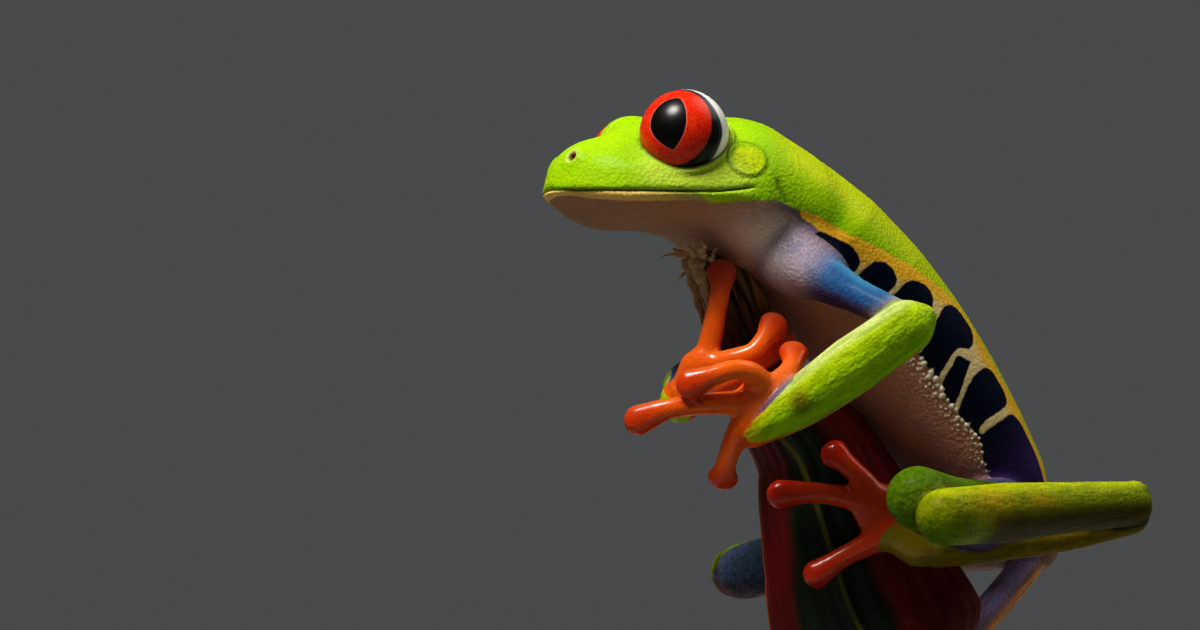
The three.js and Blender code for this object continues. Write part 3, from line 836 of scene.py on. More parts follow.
def neck_fold(q, side, width):
    """The fold behind the jaw: a hill across its line, faded out at both ends."""
    gap, share = distance_to_line(q * (1, side, 1), NECK_FOLD)
    return hill(gap, width) * ease(share, 0, 0.2) * (1 - ease(share, 0.85, 1))


def head_relief(q):
    """How far each point of the head moves out, in mm, for a place in the head's frame."""
    above, jaw = mouth_height(q), on_jaw(q)
    lift = jaw * hills(above, MOUTH_MOVES)
    for side in SIDES.values():
        hole = nostril_hole(q, side)
        lift += NOSTRIL_LIFT * hill(hole - 1.8, 0.6) - NOSTRIL_DEPTH * (1 - ease(hole, 0.5, 1.25))
        past_rim = past_eardrum(q, side)
        lift += EAR_LIFT * (1 - ease(past_rim, -0.2, 0.1)) + hills(past_rim, EAR_MOVES)
        lift -= LID_GROOVE * under_lid(q, side) + NECK_GROOVE * neck_fold(q, side, 0.22)
    return lift


def folds(parts):
    """How deep each point lies in the fold between two parts of a limb that touch, for painted shade
    there: a hill of the larger of the two distances."""
    found = np.zeros(len(parts["head"]))
    for side in SIDES:
        for first, second in FOLDS:
            both = np.maximum(parts[f"{first}_{side}"], parts.get(f"{second}_{side}", parts["trunk"]))
            found = np.maximum(found, hill(np.maximum(both, 0), 0.3) * (both > -0.5))
    return found


def creases(q):
    """Painted shade on the head where it lies in a fold: the darkest of the mouth, nostrils, eardrums,
    neck, the lids' grooves, and a painted shadow along the line where the eye meets its lids."""
    found = 0.85 * on_jaw(q) * hill(mouth_height(q) - 0.02, 0.07)
    for side in SIDES.values():
        offset, gap = seen_from_eye(q, side)
        # a painted shadow on the skin just outside the lower half of the eyeball
        contact = hill(np.maximum(gap, 0), 0.16) * ease(-offset[:, 2], 0.2, 1.0)
        past_rim = past_eardrum(q, side)
        dark = [0.8 * (1 - ease(nostril_hole(q, side), 0.3, 0.95)), 0.4 * hill(past_rim - 0.26, 0.14),
                0.5 * neck_fold(q, side, 0.2), 0.7 * under_lid(q, side) * hill(head_form(q), 0.3),
                0.9 * contact]
        found = np.maximum(found, np.max(dark, axis=0))
    return found


def mesh_normals(mesh):
    """The normals at the points of a mesh."""
    return read(mesh.vertex_normals, "vector", np.float32, 3).astype(float)


normals, points = mesh_normals(skin_mesh), mesh_points(skin_mesh)
_, parts = frog(points)
on_head = 1 - ease(parts["head"], 0.1, 0.6)
on_trunk = 1 - ease(parts["trunk"], 0.1, 0.4)
beads = bead_height(*on_flank(points)) * on_trunk
lift = head_relief(to_head(points)) * on_head + 0.7 * beads
points = points + normals * lift[:, None]
place_points(skin_mesh, points)
print("deepest and highest relief, mm:", lift.min().round(2), lift.max().round(2))

# %% [markdown]
# ## Where each colour lies
# A red-eyed tree frog is green only where it shows at rest. The flanks are dark blue with cream bars
# under a yellow line, the belly is creamy, the upper arms and thighs are blue, and hands and feet are
# orange. Each marking is stored as a distance to its own edge in millimetres, because the edge of a
# distance stays sharp in the finish, however large the faces are. Soft colours are stored as colours.

# %% Colours
def shade(code):
    """A colour written as on a paint card, in the light-proportional numbers that Blender mixes:
    ((c + 0.055) / 1.055) to the power 2.4."""
    c = np.array([int(code[i:i + 2], 16) for i in (1, 3, 5)]) / 255
    return np.where(c < 0.04045, c / 12.92, ((c + 0.055) / 1.055) ** 2.4)


LEAF, LIME, LEMON = shade("#93c404"), shade("#a8d40a"), shade("#c8d404")
MOSS, OLIVE, GOLD = shade("#3f7d08"), shade("#8a8406"), shade("#c2a40c")
OCHRE, YOLK, UMBER = shade("#cf9a18"), shade("#f0bb34"), shade("#6b5216")
# the first colour below is painted shade under the shank
SHIN_SHADE, RUSSET, SAGE = shade("#3c3002"), shade("#8a4420"), shade("#a9b25a")
# the first colour below is a painted highlight on the lids' rims, the third a painted sheen on the cheeks
LID_HIGHLIGHT, NOSTRIL_RIM, CHEEK_SHEEN = shade("#ccd652"), shade("#d3dc90"), shade("#e4f06a")
# the third colour below is a painted highlight on the upper arm
NAVY, SKY, ARM_HIGHLIGHT = shade("#070f22"), shade("#2c6298"), shade("#5fb0c8")
SLATE, VIOLET, HEATHER = shade("#34485a"), shade("#47306e"), shade("#8a80b6")
LILAC, MAUVE, PEARL = shade("#94809a"), shade("#cdb8ea"), shade("#d0bfb6")
# the second colour below is a painted highlight on the forearm
CREAM, SLEEVE_HIGHLIGHT, MILK = shade("#e6cf9c"), shade("#eef0c8"), shade("#efe2dc")
# the third colour below is the throat, darkened with painted shade
BELLY, BLUSH, SHADED_THROAT = shade("#cf937f"), shade("#f0cdc2"), shade("#a87c5a")
LIP, APRICOT, PEACH = shade("#f0cc74"), shade("#fbb480"), shade("#dd8148")
AMBER, ORANGE, RUST = shade("#f56c14"), shade("#d8460a"), shade("#c02404")
# the last colour below is painted shade in the skin's creases and folds, and the dark brown of the bract's
# dry tip
FROST, GRAIN_WHITE, CREASE_SHADE_AND_HUSK_BROWN = shade("#e9dfe2"), shade("#efe2cf"), shade("#2c1a0c")
print("leaf green, as Blender mixes it:", LEAF.round(3))

# %% Soft colours and sharp edges, part by part
JAW_GREEN = [(-3, -0.7), (-1.1, -0.3), (0.2, -0.45), (3.7, -0.8), (5.0, -0.8), (6.0, 0.0)]
LIP_TALL, LIP_END = 0.93, 5.0
BROWN_SPOT = (-8.7, -14.0, 39.6)
INSTEP = (-0.2, -8.4, 28.6)
# the line along which painted sheen lightens each cheek
CHEEK = [(8.5, 7.2, 1.1), (5.0, 8.0, 1.0), (2.6, 8.4, 1.3)]  # in the head's frame
# the centres of two pale patches on the near shoulder: painted light where the head's shadow falls, over the
# shoulder's own whitish flecks and lilac
SHOULDER_FLECKS_AND_LIGHT = (-10.5, -11.2, 51.5)
SHOULDER_LILAC_AND_LIGHT = (-9.2, -11.0, 51.8)
HEEL_STREAK = [(1.7, -8.3, 29.1), (3.9, -8.1, 28.9)]
# the fold between throat and shoulder, which lies in shade and is lightened with painted light
THROAT_FOLD = [(-8.8, -8.2, 55.2), (-10.6, -8.0, 52.8), (-12.0, -7.4, 50.8)]


def over(below, colour, share):
    """Paint over: a share of the new colour, the rest of the old."""
    return below + (colour - below) * np.atleast_1d(np.clip(share, 0, 1))[:, None]


def coat(colour, points):
    """The same colour on every point."""
    return np.repeat(colour[None], len(points), 0)


def part_shares(parts, softness=0.3):
    """How much each point belongs to each part: e to the minus (distance - least distance) / softness,
    scaled so that the shares add up to one."""
    names = list(parts)
    found = np.stack([parts[name] for name in names])
    weight = np.exp(-(found - found.min(0)) / softness)
    return dict(zip(names, weight / weight.sum(0)))


def facing(normals, way):
    """How squarely the skin faces a direction: 1 towards it, -1 away from it."""
    return normals @ unit(way)


def rounded_corner(a, b, radius):
    """Inside both edges, with the corner between them an arc: radius minus the length of how far each
    distance falls short of the radius."""
    short = np.hypot(np.maximum(radius - a, 0), np.maximum(radius - b, 0))
    return np.where(np.minimum(a, b) > radius, np.minimum(a, b), radius - short)


def body_edges(points, q):
    """Signed distances in mm on head and trunk, more than zero inside: green, the pale flank, its dark
    blotches, and how far a bar has turned from yellow to cream."""
    down, degrees = on_flank(points)
    ahead = ease(q[:, 0], 4.2, 6.6)
    jaw = (mouth_height(q) + 0.02) * ahead + (q[:, 2] - read_off(q[:, 0], JAW_GREEN)) * (1 - ahead)
    face = ease(q[:, 0], -3.6, -1.4)
    green = -past_line(down, degrees, GREEN_EDGE) * (1 - face) + np.clip(jaw, -2, 4) * face
    below_stripe = past_line(down, degrees, STRIPE_EDGE)
    above_belly = -past_line(down, degrees, BELLY_EDGE)
    start = ease(down, 5.0, 8.0)
    flank = -below_stripe * (1 - start) + above_belly * start
    dark = rounded_corner(below_stripe, bar_distance(down, degrees), 1.25)
    dark = np.minimum(rounded_corner(dark, above_belly, 0.35), (down - 5.6) * 0.8)
    return green, flank, dark, ease(below_stripe, 0.1, 1.8)


def lip_band(q, in_head):
    """The pale lower lip: a band under the mouth's line that ends before the corner. Its width is the
    root of the sum of two squares: how far down, and how far in from the head's outline."""
    above = mouth_height(q)
    size = np.array([HEAD_LENGTH, HEAD_HALF_WIDTH])
    outline = np.sqrt(((q[:, :2] / size) ** 2).sum(1)) + 1e-6
    inward = (1 - outline) * outline / (np.sqrt(((q[:, :2] / size**2) ** 2).sum(1)) + 1e-6)
    reach = np.hypot(above, np.maximum(inward, 0))
    tall = LIP_TALL * (1 - 0.35 * ease(q[:, 0], 12.6, 14.2))
    return np.minimum(np.minimum(0.02 - above, tall - reach), (q[:, 0] - LIP_END) * 0.3) - 2 * (1 - in_head)


print("markings are measured in millimetres from their own edges")

# %% The soft colours of each part
WRIST_INWARD = {"left": (-0.515, 0.0, 0.857), "right": (0.0, -0.2, 1.0)}
ARM_OUTWARD = {"left": (0.15, -0.75, 0.6), "right": (-0.75, -0.6, 0.1)}
LEG_OUTWARD = {"left": (0.1, -0.6, 0.75), "right": (-0.3, 0.75, 0.6)}
TARSUS_BEHIND, FAR_FRONT = (1, 0.2, -0.3), (-0.3, -1, 0.1)
LENGTHWISE = {"forearm": ARMS, "shank": LEGS, "tarsus": LEGS}  # the parts with long wrinkles


def body_colour(points, q):
    """Belly and throat under the markings: a peach belly and a throat darkened to brown with painted
    shade, lilac at the shoulder, violet at the groin.
    """
    down, degrees = on_flank(points)
    past_back = degrees * ROUND
    # painted shade: the throat is browner and darker than its own cream, as it lies under the head
    colour = over(coat(BELLY, points), SHADED_THROAT, ease(q[:, 0], -3, 3))
    colour = over(colour, PEARL, hill(down - 4, 4.5) * hill(past_back - 128 * ROUND, 2.6))
    colour = over(colour, LILAC, hill(down - 5, 3.0) * hill(past_back - 113 * ROUND, 1.1))
    at_shoulder = ease(down, -3, 3) * (1 - ease(down, 6, 10))
    colour = over(colour, VIOLET * 0.6, 0.9 * hill(past_back - 103 * ROUND, 0.7) * at_shoulder)
    return over(colour, VIOLET, 0.9 * ease(down, 28.5, 31.5) * ease(degrees, 60, 90))


def share_along(points, joints):
    """The share of the way along a limb at which each point lies."""
    return distance_to_line(points, curve_through(joints, LIMB_STEPS)[0])[1]


def arm_colours(points, normals, side):
    """Under colours of upper arm and forearm, and the edges of their greens in mm."""
    up = normals[:, 2]
    high, low = (share_along(points, ARMS[side][kind]) for kind in ("upper_arm", "forearm"))
    # pearl on top near the shoulder and dark violet underneath: partly the arm's own colours, partly painted
    # light and painted shade
    upper = over(coat(LILAC, points), PEARL, ease(up, 0.1, 0.8) * (1 - ease(high, 0.0, 0.25)))
    upper = over(upper, VIOLET * 0.7, 0.95 * ease(-up, -0.7, 0.1) * ease(high, 0.1, 0.35))
    upper = over(upper, SKY, ease(high, 0.12, 0.36) * ease(up, -0.6, 0.1))
    # painted highlights: pale blue along the top of the arm, and whitish near the elbow
    upper = over(upper, ARM_HIGHLIGHT, 0.55 * hill(high - 0.45, 0.25) * ease(up, 0.5, 0.95))
    upper = over(upper, MILK, 0.6 * ease(high, 0.72, 0.95) * ease(up, 0.3, 0.9))
    inward = facing(normals, WRIST_INWARD[side])
    blue = ease(inward, 0.1, 0.5) * ease(low, 0.3, 0.6) * (1 - ease(low, 0.9, 1))
    lower = over(over(coat(PEACH, points), SKY * 0.8, blue), AMBER, ease(low, 0.93, 1.0))
    lower = over(lower, CREAM, 0.6 * (1 - ease(low, 0.5, 0.8)))
    green = (facing(normals, ARM_OUTWARD[side]) + 0.3) * 1.8
    green = np.minimum(green, (0.78 - inward) * 1.3 + 3 * (1 - ease(low, 0.35, 0.65)))
    return upper, lower, (high - 0.97) * 6, green


def leg_colours(points, normals, side):
    """Under colours of thigh, shank and tarsus, the edges of their greens in mm, and the share of the
    way along the shank. The far leg lies in the shade of the bract: its thigh is darkened with painted
    shade, its shank and tarsus are paler, partly their own colours and partly painted light, and its
    front has no green."""
    thigh_share, shank_share, tarsus_share = (share_along(points, LEGS[side][kind])
                                              for kind in ("thigh", "shank", "tarsus"))
    outward, low = facing(normals, LEG_OUTWARD[side]), ease(-normals[:, 2], 0.2, 0.9)
    behind = facing(normals, TARSUS_BEHIND)
    thigh = over(coat(VIOLET * 0.6 + SKY * 0.4, points), VIOLET * 0.6, ease(-normals[:, 2], 0.2, 0.8) * 0.8)
    shank = over(coat(LILAC, points), PEACH, low)
    tarsus = over(coat(VIOLET * 0.6 + LILAC * 0.4, points), PEACH, ease(behind, 0.0, 0.6))
    tarsus = over(tarsus, ORANGE, ease(tarsus_share, 0.8, 1.0))
    greens = [(outward + 2.1 * thigh_share - 1.1) * 1.5, (outward + 1.35) * 1.9,
              (outward + (0.95 if side == "left" else 0.3)) * 1.3]
    if side == "right":
        # painted shade on the far thigh; paler colours on the far shank and tarsus, partly their own and
        # partly painted light in the bract's shade
        thigh = over(thigh, SLATE, 0.85 * ease(thigh_share, 0.4, 0.9))
        shank = over(shank, BLUSH, 0.9 * ease(shank_share, 0.4, 0.7))
        tarsus = over(tarsus, MAUVE, 0.95 * ease(-behind, -0.5, 0.3))
        tarsus = over(tarsus, APRICOT, 0.9 * ease(behind, 0.1, 0.6))
        greens[2] = greens[2] - ease(tarsus_share, 0.8, 1)
        front = 2.2 * ease(facing(normals, FAR_FRONT), -0.3, 0.3)
        greens = [green - front for green in greens]
    return (thigh, shank, tarsus), greens, shank_share


def paw_colour(points, paths, colour):
    """Orange hands and feet, redder towards the tips of the digits."""
    tip = np.zeros(len(points))
    for path in paths:
        gap, share = distance_to_line(points, curve_through(path, LIMB_STEPS)[0])
        tip = np.maximum(tip, ease(share, 0.55, 1.0) * (gap < 1.7))
    return over(coat(colour, points), RUST, 0.75 * tip)


def grain_place(points, share):
    """The place used for the long wrinkles: near a limb, 0.8 of the way along the limb is taken out, so
    that noise read there is drawn out lengthwise."""
    place = points.copy()
    for side in SIDES:
        for kind, limbs in LENGTHWISE.items():
            joints = limbs[side][kind]
            way = unit(np.subtract(joints[-1], joints[0]))
            weight = ease(share[f"{kind}_{side}"], 0.3, 0.7)
            place = place - 0.8 * (weight * ((points - joints[0]) @ way))[:, None] * way
    return place


print("palette and directions are ready for", len(SIDES), "sides")

# %% The whole skin, painted
SHIN_SPOTS = [(GOLD, 0.8, 0.15, 0.11, 0.4, 0.5), (OCHRE, 0.5, 0.42, 0.08, 0.35, 0.3)]
# each spot: colour, strength, its share along the shank and its width, how far it faces up and its width


def on_eardrum(q, side, low, high):
    """1 on an eardrum, fading out between two distances from its rim."""
    return 1 - ease(past_eardrum(q, side), low, high)


def cape_colour(points, normals, q):
    """Head and back: leaf green, limier on the head, yellower where the back faces up, partly its own
    colour and partly painted light; with nostrils and eardrums picked out, a painted highlight on the
    lids' rims and a painted sheen on the cheeks."""
    cape = over(coat(LEAF, points), LIME, ease(q[:, 0], -4, 3) * 0.8)
    # yellower where the back faces up: partly its own colour, partly painted light from above
    cape = over(cape, LEMON, 0.85 * ease(-q[:, 0], 0, 4) * ease(normals[:, 2], 0.0, 0.6))
    for side in SIDES.values():
        nostril = away_from(q, mirrored(NOSTRIL_AT, side))
        cape = over(cape, LEMON, 0.8 * on_eardrum(q, side, -0.3, 0))
        # painted highlight along the lids' rims
        cape = over(cape, LID_HIGHLIGHT, 0.6 * lid_highlight(q, side))
        cape = over(cape, NOSTRIL_RIM, 0.6 * (1 - ease(nostril, 0.5, 0.85)))
        cape = over(cape, RUSSET, 0.9 * (1 - ease(nostril, 0.32, 0.48)))
        # painted sheen on the cheek below each eye
        cape = over(cape, CHEEK_SHEEN, 0.5 * hill(distance_to_line(q * (1, side, 1), CHEEK)[0], 1.4))
    return cape


def limb_paint(points, normals, side):
    """For each part of the limbs of one side: its under colour, its over colour, and its green edge."""
    up = normals[:, 2]
    upper, lower, *arm_greens = arm_colours(points, normals, side)
    legs, leg_greens, along_shank = leg_colours(points, normals, side)
    knee = over(coat(MOSS, points), OLIVE, 0.3)
    olive = over(coat(OLIVE, points), LEAF, 0.25)
    # painted highlight: lemon on the top of the shank
    shin = over(olive, LEMON, 0.75 * ease(up, 0.45, 0.95))
    for colour, strength, share, width, upward, spread in SHIN_SPOTS:
        shin = over(shin, colour, strength * hill(along_shank - share, width) * hill(up - upward, spread))
    # painted shade under the shank: darker moss at the knee end, dark peat brown along the rest
    shin = over(shin, MOSS * 0.7, 0.5 * (1 - ease(along_shank, 0.0, 0.16)) * ease(-up, -0.2, 0.4))
    shin = over(shin, SHIN_SHADE, 0.92 * ease(-up, -0.35, 0.35) * ease(along_shank, 0.06, 0.2))
    inward = facing(normals, WRIST_INWARD[side])
    # yellower, then ivory, towards the forearm's upper edge: partly its own colour, partly painted highlight
    sleeve = over(coat(LIME, points), LEMON, 0.6 * ease(inward, -0.4, 0.5))
    sleeve = over(sleeve, SLEEVE_HIGHLIGHT, 0.45 * ease(inward, 0.45, 0.85))
    # painted highlight: paler peach on the top of the hand
    hand = over(paw_colour(points, FINGERS[side], AMBER), PEACH, 0.4 * ease(up, 0.35, 0.95))
    foot = paw_colour(points, TOES[side], ORANGE) * 0.85
    instep = 1 - ease(away_from(points, INSTEP), 1.4, 3.0)
    ankle, sole_edge = over(olive, OCHRE, 0.5) * 0.55, over(olive, OCHRE, 0.45) * 0.6
    return {"upper_arm": (upper, sleeve, arm_greens[0]), "forearm": (lower, sleeve, arm_greens[1]),
            "thigh": (legs[0], knee, leg_greens[0]), "shank": (legs[1], shin, leg_greens[1]),
            "tarsus": (legs[2], ankle, leg_greens[2]), "hand": (hand, hand, -2.0),
            "foot": (foot, sole_edge, 3 * instep - 1.2)}


def paint(points, normals, parts):
    """All colours and edges of the skin: each part's own, shared out where parts meet."""
    q = to_head(points)
    share = part_shares(parts)
    whole = share["head"] + share["trunk"]

    def share_of(*kinds):
        """How much each point belongs to those kinds of parts, both sides together."""
        return sum(share[f"{kind}_{side}"] for kind in kinds for side in SIDES)

    green, flank, dark, pale = body_edges(points, q)
    green = green * whole
    under = body_colour(points, q) * whole[:, None]
    tone = cape_colour(points, normals, q) * whole[:, None]
    for side in SIDES:
        for kind, (low, high, edge) in limb_paint(points, normals, side).items():
            weight = share[f"{kind}_{side}"]
            under = under + low * weight[:, None]
            tone = tone + high * weight[:, None]
            green = green + edge * weight
    frost, streak = away_from(points, SHOULDER_FLECKS_AND_LIGHT), distance_to_line(points, HEEL_STREAK)[0]
    tone = over(tone, UMBER, 0.75 * (1 - ease(away_from(points, BROWN_SPOT), 0.3, 1.5)))
    tone = over(tone, CREAM, 0.6 * hill(streak, 0.3))
    # a pale patch at the shoulder: partly its own whitish skin, partly painted light in the head's shadow
    under = over(under, MILK, 0.75 * hill(frost, 2.5))
    under = over(under, MILK, 0.7 * hill(streak, 0.5))
    # painted light along the shaded fold between throat and shoulder
    under = over(under, MILK, 0.45 * hill(distance_to_line(points, THROAT_FOLD)[0], 0.8))
    # a paler lilac patch at the shoulder: partly its own colour, partly painted light in the head's shadow
    under = over(under, HEATHER, 0.5 * hill(away_from(points, SHOULDER_LILAC_AND_LIGHT), 1.3))
    body_only = (whole - 0.5) * 2
    ears = sum(on_eardrum(q, side, 0, 0.3) for side in SIDES.values())
    clear = np.ones(len(points))
    return {
        "under": np.column_stack([np.clip(under, 0, 1), clear]),
        "tone": np.column_stack([np.clip(tone, 0, 1), clear]),
        "green": green,
        "pale": pale,
        "flank": np.minimum(flank, body_only) - 3 * (q[:, 0] > -3),
        "dark": np.minimum(dark, body_only),
        "lip": lip_band(q, share["head"]),
        "lip_fade": 1 - ease(q[:, 0], 5.0, 9.5),
        # painted shade in the head's creases and in the folds of the limbs
        "crease": np.maximum(creases(q) * share["head"], 0.75 * folds(parts)),
        "groin": ease(on_flank(points)[0], 26, 33),
        "bead": ease(beads, 0.02, 0.08),
        "frost": 0.95 * hill(frost, 2.3),
        "coarse": share_of("forearm", "shank", "thigh", "tarsus") + 0.6 * ears,
        "grain": grain_place(points, share) * MM,
        "bare": share_of("hand", "foot"),
    }


STORED_AS = {1: ("FLOAT", "value"), 3: ("FLOAT_VECTOR", "vector"), 4: ("FLOAT_COLOR", "color")}


def add_attribute(mesh, name, values):
    """Stores on each point of a mesh one number, three numbers for a place, or four for a colour."""
    values = np.asarray(values, np.float32)
    kind, field = STORED_AS[values.size // len(values)]
    mesh.attributes.new(name, kind, "POINT").data.foreach_set(field, values.ravel())


_, parts = frog(points)
painted = paint(points, mesh_normals(skin_mesh), parts)
for name, values in painted.items():
    add_attribute(skin_mesh, name, values)
print("attributes on the skin:", ", ".join(painted))

# %% [markdown]
# ## Finishes
# A finish is a small network: places go in, colour, roughness and height come out. Linking each node by
# hand is long and hard to read, so a wire from a node is wrapped here, and a sum written with wires adds
# the Math nodes by itself. Everything is read in the object's own coordinates or from the attributes, so
# nothing slides when the viewer moves.

# %% Wires and nodes
class Wire:
    """A number, place or colour on its way through a finish. Plus, minus and times add Math nodes."""

    def __init__(self, tree, socket):
        self.tree, self.socket = tree, socket

    def math(self, operation, a, b=0.0):
        """A Math node of that kind, fed with one or two values."""
        return node(self.tree, "ShaderNodeMath", a, b, operation=operation)

    def __add__(self, other):
        return self.math("ADD", self, other)

    def __sub__(self, other):
        return self.math("SUBTRACT", self, other)

    def __rsub__(self, other):
        return self.math("SUBTRACT", other, self)

    def __mul__(self, other):
        return self.math("MULTIPLY", self, other)

    def __abs__(self):
        return self.math("ABSOLUTE", self)

    __radd__, __rmul__ = __add__, __mul__


def feed(socket, value):
    """Gives a socket its value: a wire is linked, a colour gets full alpha, and None is passed over."""
    if isinstance(value, Wire):
        value.tree.links.new(value.socket, socket)
    elif np.ndim(value):
        socket.default_value = (*value, 1)[:len(socket.default_value)]
    elif value is not None:
        socket.default_value = value


def node(tree, kind, *values, out=0, named=(), **settings):
    """A node: its settings, its inputs in order and by name, and a wire from one of its outputs."""
    made = tree.nodes.new(kind)
    for key, value in settings.items():
        setattr(made, key, value)
    for socket, value in zip(made.inputs, values):
        feed(socket, value)
    for name, value in dict(named).items():
        feed(made.inputs[name], value)
    return Wire(tree, made.outputs[out])


def finish(name):
    """A new material, its tree, and the inputs of its Principled shader."""
    material = bpy.data.materials.new(name)
    material.use_nodes = True
    return material, material.node_tree, material.node_tree.nodes["Principled BSDF"].inputs


def set_shader(inputs, **values):
    """Wires or plain values on the shader's inputs, named with _ for a space."""
    for name, value in values.items():
        feed(inputs[name.replace("_", " ")], value)


print("a wire can be added, subtracted and multiplied")

# %% Helpers for finishes
def in_place(tree):
    """The object's own coordinates."""
    return node(tree, "ShaderNodeTexCoord", out="Object")


def measured(tree, name, out="Fac"):
    """An attribute of the mesh: a number, unless its Color or Vector is asked for."""
    return node(tree, "ShaderNodeAttribute", attribute_name=name, out=out)


def step_up(value, low, high):
    """0 below low, 1 above high, eased between."""
    return node(value.tree, "ShaderNodeMapRange", value, low, high, interpolation_type="SMOOTHSTEP")


def largest(a, b):
    """The larger of a wire and another value."""
    return a.math("MAXIMUM", a, b)


def mixed(share, below, above, blend="MIX"):
    """Two colours mixed by a share."""
    inputs = (share, *[None] * 5, below, above)
    return node(share.tree, "ShaderNodeMix", *inputs, out=2, data_type="RGBA", blend_type=blend)


def cloudy(place, scale, detail=2.0, roughness=0.5):
    """Cloudy noise round 0.5, with scale lumps to a unit."""
    named = {"Scale": scale, "Detail": detail, "Roughness": roughness}
    return node(place.tree, "ShaderNodeTexNoise", place, out="Fac", named=named)


def noise(place, size, detail=2.0, roughness=0.5):
    """Cloudy noise whose lumps are about size mm across."""
    return cloudy(place, 1 / (size * MM), detail, roughness)


def grains(place, size, smoothness=0.4):
    """Round grains about size mm across: one minus the distance to the nearest grain's middle."""
    named = {"Scale": 1 / (size * MM), "Smoothness": smoothness}
    kind, settings = "ShaderNodeTexVoronoi", {"out": "Distance", "feature": "SMOOTH_F1"}
    return 1.0 - node(place.tree, kind, place, named=named, **settings)


def bumps(height, depth):
    """A tilt of the normal from a height; depth is how many mm a height of one stands for."""
    return node(height.tree, "ShaderNodeBump", named={"Distance": depth * MM, "Height": height})


print("helpers ready")

# %% [markdown]
# ## The skin's finish
# Real frog skin is a field of tiny glands, so it glitters in grains and never in one broad gloss. The
# colour is laid in the order nature shows it: the soft colour underneath, the pale flank, its dark
# blotches, the lip, and the green cape, with painted shade in the creases laid over them. Each edge is
# roughened by a little noise, because no marking ends in a drawn line. The hands and feet are smoother
# and wetter than the back.

# %% The skin's finish
WARMER, DULLER = (1.35, 1.05, 0.4), (0.4, 0.62, 0.5)  # what patches of the skin are multiplied by
FURROW_SHADE, GAP_SHADE = (0.55, 0.62, 0.4), (0.35, 0.45, 0.3)


def skin_colour(tree, place, cells):
    """Colours from the attributes, in the order in which they lie on the frog, then painted shade in
    the creases, patches, furrows and the gaps between grains. Each edge is moved a little by noise."""
    fine, middle, broad = noise(place, 0.5), noise(place, 1.6, 3), noise(place, 5, 2)
    jitter = (fine - 0.5) * 0.22

    def edge(name, softness):
        """1 inside the marking of that name, 0 outside it, eased over softness on either side."""
        return step_up(measured(tree, name) + jitter, -softness, softness)

    frost = measured(tree, "frost") * step_up(cells + (middle - 0.5) * 1.2, 0.72, 0.92)
    pale = mixed(measured(tree, "pale"), YOLK, CREAM)
    night = mixed(measured(tree, "groin") * 0.8, mixed(middle, NAVY, NAVY * 1.7), VIOLET)
    lip = mixed(measured(tree, "lip_fade"), LIP, SAGE)
    colour = mixed(frost, measured(tree, "under", "Color"), FROST)
    colour = mixed(edge("flank", 0.08), colour, pale)
    colour = mixed(edge("dark", 0.08), colour, night)
    colour = mixed(measured(tree, "bead"), colour, GRAIN_WHITE)
    colour = mixed(edge("lip", 0.1), colour, lip)
    colour = mixed(edge("green", 0.1), colour, measured(tree, "tone", "Color"))
    # painted shade in the creases and folds, laid over the colours
    colour = mixed(measured(tree, "crease"), colour, CREASE_SHADE_AND_HUSK_BROWN)
    patch = (broad - 0.5) * 0.5 + (middle - 0.5) * 0.5
    colour = mixed(largest(patch, 0.0), colour, WARMER, "MULTIPLY")
    colour = mixed(largest(patch * -1.0, 0.0), colour, DULLER, "MULTIPLY")
    wrinkle = noise(measured(tree, "grain", "Vector"), 0.55, 2, 0.55)
    furrow = step_up(wrinkle, 0.55, 0.35) * (measured(tree, "coarse") * 0.65)
    colour = mixed(furrow, colour, FURROW_SHADE, "MULTIPLY")
    gaps = step_up(cells, 0.75, 0.35) * (0.2 - measured(tree, "bare") * 0.15)
    calm = (1.0 - edge("dark", 0.3) * 0.55) * (1.0 - edge("flank", 0.3) * 0.3)
    return mixed(gaps, colour, GAP_SHADE, "MULTIPLY"), fine, wrinkle, calm


def skin_finish():
    """The frog's skin: grains and wrinkles over its colours, calm on the dark blotches, and a wet coat
    on hands and feet only."""
    material, tree, shader = finish("frog_skin")
    place = in_place(tree)
    cells, large = grains(place, 0.27), grains(place, 0.7, 0.6)
    colour, fine, wrinkle, calm = skin_colour(tree, place, cells)
    bare, coarse = measured(tree, "bare"), measured(tree, "coarse")
    height = (cells * 0.75 + large * (0.15 + coarse * 0.6)) * (1.0 - bare * 0.5)
    height = (height + wrinkle * (coarse * 1.8) + fine * 0.4) * calm
    set_shader(shader, Base_Color=colour, Roughness=0.42 + fine * 0.16 - bare * 0.2,
               Normal=bumps(height, 0.075), Specular_IOR_Level=0.05,
               Coat_Weight=0.04 + bare * 0.66, Coat_Roughness=0.22,
               Subsurface_Weight=0.1, Subsurface_Scale=0.0006, Subsurface_Radius=(1.0, 0.45, 0.2))
    return material


def new_piece(name, mesh, material, slot, *replaced):
    """A finished mesh as a piece of the model: smooth and riding on the body. The slot is not used."""
    mesh.materials.append(material)
    mesh.polygons.foreach_set("use_smooth", np.ones(len(mesh.polygons), bool))
    piece = bpy.data.objects.new(name, mesh)
    bpy.context.scene.collection.objects.link(piece)
    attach(piece, "root")
    if replaced:
        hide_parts(*replaced)


place_points(skin_mesh, points * MM)
flesh = [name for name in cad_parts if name.split("_")[0] not in ("eye", "perch", "stand")]
new_piece("frog_skin", skin_mesh, skin_finish(), "skin", *flesh)
print("one skin stands for", len(flesh), "solids")

# %% [markdown]
# ## Eyes
# The eye is a ball with its markings laid in rings round its own outlook: a black pupil shaped like a
# flattened lens, a red iris, a blue-black ring and a white rim. Rings on a ball are easiest when the
# ball's poles lie on the outlook, because then a ring is a row of the grid. A clear wet layer on top
# carries the reflections.

